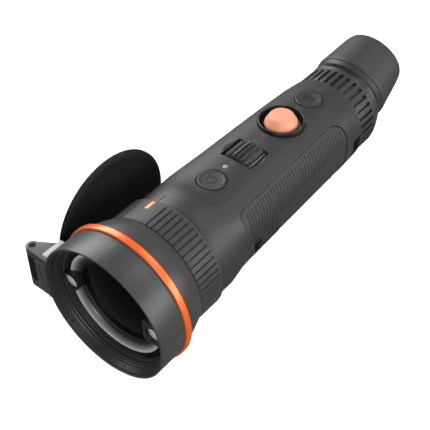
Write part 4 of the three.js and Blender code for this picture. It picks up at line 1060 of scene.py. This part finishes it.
# ---- Rear housing ----
# A nylon neck behind the shells, ringed with round-ended slots for grip, that leans over into a round
# shoulder tipped up towards the eye. It plugs into the shells with a spigot and carries the eyepiece tube.
eye_joint = joints["diopter_turn"]
eye_at = (Vector(eye_joint["pos_m"]) - rim) * 1000
eye_pitch = math.atan2(eye_joint["axis"][2], eye_joint["axis"][1])
neck_front, neck_radius, neck_z, slot_end, slot_half = 178.9, 24.6, 1.25, 191.4, 0.98
slot_count, shoulder_start = 36, slot_end + 0.8
rise = eye_at.z - neck_z
shoulder = [
    (0.25, 0.25, 0.09, 0.14), (0.5, 0.9, 0.27, 0.34), (0.75, 1.8, 0.58, 0.64), (0.92, 2.7, 0.86, 0.9),
]
neck_stations = [
    (neck_front, neck_radius - 0.5, neck_z, 0), (neck_front + 0.15, neck_radius - 0.15, neck_z, 0),
    (neck_front + 0.5, neck_radius, neck_z, 0), (185.0, neck_radius + 0.05, neck_z, 0),
    (shoulder_start, neck_radius + 0.1, neck_z, 0),
]
neck_stations += [
    (
        shoulder_start + along * (eye_at.y - shoulder_start), neck_radius - slimmer,
        neck_z + lift * rise, lean * eye_pitch,
    )
    for along, slimmer, lift, lean in shoulder
]
neck_stations.append((eye_at.y, 21.0, eye_at.z, eye_pitch))


def neck_blank(stations, inset):
    """A round plug whose height, size and lean change from station to station."""
    shape = bmesh.new()
    rings = []
    for back, radius, height, lean in stations:
        place = Matrix.Translation((0, back, height)) @ Matrix.Rotation(lean, 4, "X") @ upright
        ring = bmesh.ops.create_circle(shape, segments=144, radius=radius - inset, matrix=place)["verts"]
        rings.append({edge for corner in ring for edge in corner.link_edges})
    return skinned(shape, rings)


def neck_slot(turn):
    """A cutter for one slot: straight sides and a rounded rear end."""
    outline = [(-slot_half, neck_front - 1.5), (slot_half, neck_front - 1.5)]
    outline += [
        (slot_half * math.cos(bend), slot_end - slot_half + slot_half * math.sin(bend))
        for bend in (math.radians(degrees) for degrees in range(0, 181, 30))
    ]
    place = Matrix.Translation((0, 0, neck_z)) @ Matrix.Rotation(turn, 4, "Y")
    return prism(outline, neck_radius - 1.4, neck_radius + 1.5, 0, place)


eyepiece = Matrix.Translation(eye_at) @ Matrix.Rotation(eye_pitch, 4, "X")
spigot = body_blank(3.3, 174.0, neck_front + 0.6, 64)
neck = carved(neck_blank(neck_stations, 0), spigot, how="UNION")
neck = carved(
    neck,
    neck_blank([(neck_front + 2.4, neck_radius, neck_z, 0), (shoulder_start, neck_radius, neck_z, 0)], 2.4),
    body_blank(5.7, 173.0, 178.4, 64),
    neck_blank([(177.0, 18.5, neck_z, 0), (neck_front + 3.0, 18.5, neck_z, 0)], 0),
    turned([(0, -22), (17.3, -22), (17.3, 22), (0, 22)], 96, 0, eyepiece),
)
neck = carved(neck, *[neck_slot(math.tau * (k + 0.5) / slot_count) for k in range(slot_count)])
rear_bars = [bar for name, bar in strap_bars.items() if "rear" in name]
lug_rooms = [
    carved(strap_box(bar, 1.5, 6.7, 1.0), cuboid((-60, neck_front - 0.15, -60), (60, 220, 60)))
    for bar in rear_bars
]
neck = carved(neck, *lug_rooms)
settle("eyepiece_neck", neck, "device_body", "soft_touch_black", soft_paint, "rear_housing", sharp=32)

# ---- Eyepiece ----
# A black anodised tube leans up out of the neck. Inside it slides the cell with two coated lenses, moved
# by the smooth dioptre ring outside.
tube_shape = turned([(15.3, -9), (17.0, -9), (17.0, 21), (15.3, 21)], 96, 0.25)
settle("eyepiece_barrel", tube_shape, "device_body", "anodised_black", black_anodising,
       "eyepiece_tube", place=eyepiece)
cell_baffles = [(13.5 - 0.12 * (k % 2), 12.0 - 0.5 * k) for k in range(20)]
cell_shape = turned([
    (13.5, -6), (15.1, -6), (15.1, 19.5), (14.3, 19.5), (13.5, 18.9), *cell_baffles,
], 96, 0.08)
settle("eyepiece_slide", cell_shape, "eyepiece_cell", "anodised_black", black_anodising,
       "eyepiece_cell", place=eyepiece)
# Painted reflection: the glass colour turns purple towards grazing angles, the colour its coating reflects.
glass_finish = clouded(
    "eyepiece_glass", (0.05, 0.06, 0.07), (0.10, 0.06, 0.14), (200, 2), 0.02, 0.03, 0.003, blend=0.3,
    Transmission_Weight=0.55, IOR=1.52, Coat_Weight=1.0, Coat_Roughness=0.01,
)
eye_lens_shape = turned(lens_outline(13.2, 13.0, 5.0, 40, 80), 80, 0)
settle("eye_glass", eye_lens_shape, "eyepiece_cell", "clear_glass", glass_finish,
       "eye_lens", place=eyepiece)
refinish(glass_finish, "field_lens")
dioptre_shape = turned([
    (17.2, 0.4), (20.9, 0.4), (21.15, 0.9), (21.75, 2.7), (21.9, 3.2), (19.8, 3.2), (19.8, 9.0),
    (17.2, 9.0),
], 128, 0.2)
settle("dioptre_band", dioptre_shape, "diopter_ring", "soft_touch_black", soft_paint,
       "diopter_ring", place=eyepiece)

# ---- Eyecup ----
# A soft rubber cup with a smooth tapering skin and a rounded rim, stretched over the dioptre ring, so it
# turns with it. Its lip rolls inwards to a narrow opening round the lens.
cup_rubber = painted("eyecup_rubber", (0.034, 0.0345, 0.036), 0.54, 2000, 0.05, edge_lightening=0.2)
cup_shape = turned([
    (20.1, 3.5), (21.7, 3.5), (22.0, 4.1), (21.95, 5.4), (21.7, 6.9), (21.2, 10.0), (20.6, 14.0),
    (19.95, 18.5), (19.35, 22.5), (18.7, 25.9), (18.45, 26.9), (18.2, 27.8), (17.9, 28.5), (17.3, 28.9),
    (16.9, 28.85),
    (16.4, 28.5), (16.0, 27.7), (15.95, 26.0), (16.05, 22.2), (17.3, 21.3), (17.3, 9.3), (20.1, 9.3),
], 128, 0.25)
settle("eye_cup", cup_shape, "diopter_ring", "rubber_grey", cup_rubber, "eyecup", place=eyepiece)

# ---- Studio ----
# A round sweep of pale paper that curves up into a backdrop, a large softbox high on the left, a weaker
# one on the right, one above and behind and one low in front, as for a catalogue picture. The paper's own
# glow is kept off the device.
floor_shape = turned([(0, 0), (2.6, 0), (3.0, 0.12), (3.3, 0.42), (3.4, 0.8), (3.4, 3.4)], 64, 0, upright)
floor_mesh = bpy.data.meshes.new("paper_floor")
floor_shape.to_mesh(floor_mesh)
floor_shape.free()
paper = Recipe("studio_paper", Specular_IOR_Level=0.2, Emission_Color=(1, 1, 1, 1), Emission_Strength=0.72)
paper_fibre = paper.noise(220, 4, 0.6)
paper_tone = paper.colour(paper_fibre, (0.90, 0.90, 0.90), (0.93, 0.93, 0.93))
floor_mesh.materials.append(paper.done(paper_tone, 0.75 + 0.1 * paper_fibre, paper_fibre, 0.02))
floor = bpy.data.objects.new("paper_floor", floor_mesh)
bpy.context.scene.collection.objects.link(floor)
floor.visible_diffuse = False
floor.visible_glossy = False

world = bpy.data.worlds.new("studio_air")
world.use_nodes = True
world.node_tree.nodes["Background"].inputs["Color"].default_value = (1, 1, 1, 1)
world.node_tree.nodes["Background"].inputs["Strength"].default_value = 0.19
bpy.context.scene.world = world


def softbox(name, place, aim, size, watts):
    """A rectangular studio light that faces a point."""
    light = bpy.data.lights.new(name, "AREA")
    light.shape = "RECTANGLE"
    light.size, light.size_y = size
    light.energy = watts
    holder = bpy.data.objects.new(name, light)
    holder.location = place
    holder.rotation_euler = (Vector(aim) - Vector(place)).to_track_quat("-Z", "Y").to_euler()
    bpy.context.scene.collection.objects.link(holder)


grip_middle, lens_middle = (0, 0, 0.03), (0, -0.1, 0.03)
softbox("key_softbox", (-0.95, 0.15, 0.62), grip_middle, (1.1, 0.7), 15.5)
softbox("side_softbox", (0.85, 0.30, 0.30), grip_middle, (0.9, 0.4), 6.5)
softbox("top_softbox", (0.35, 0.55, 0.95), grip_middle, (0.5, 0.5), 2.5)
softbox("front_softbox", (0.42, -0.62, 0.42), lens_middle, (0.4, 0.4), 3.4)

lens = bpy.data.cameras.new("camera")
lens.lens = 74.89
lens.sensor_width = 36
camera = bpy.data.objects.new("camera", lens)
camera.location = (0.2053, -0.2856, 0.3479)
camera.rotation_euler = (math.radians(90 - 44.134), 0, math.radians(38.5426))
bpy.context.scene.collection.objects.link(camera)
bpy.context.scene.camera = camera
bpy.context.scene.view_settings.view_transform = "Standard"
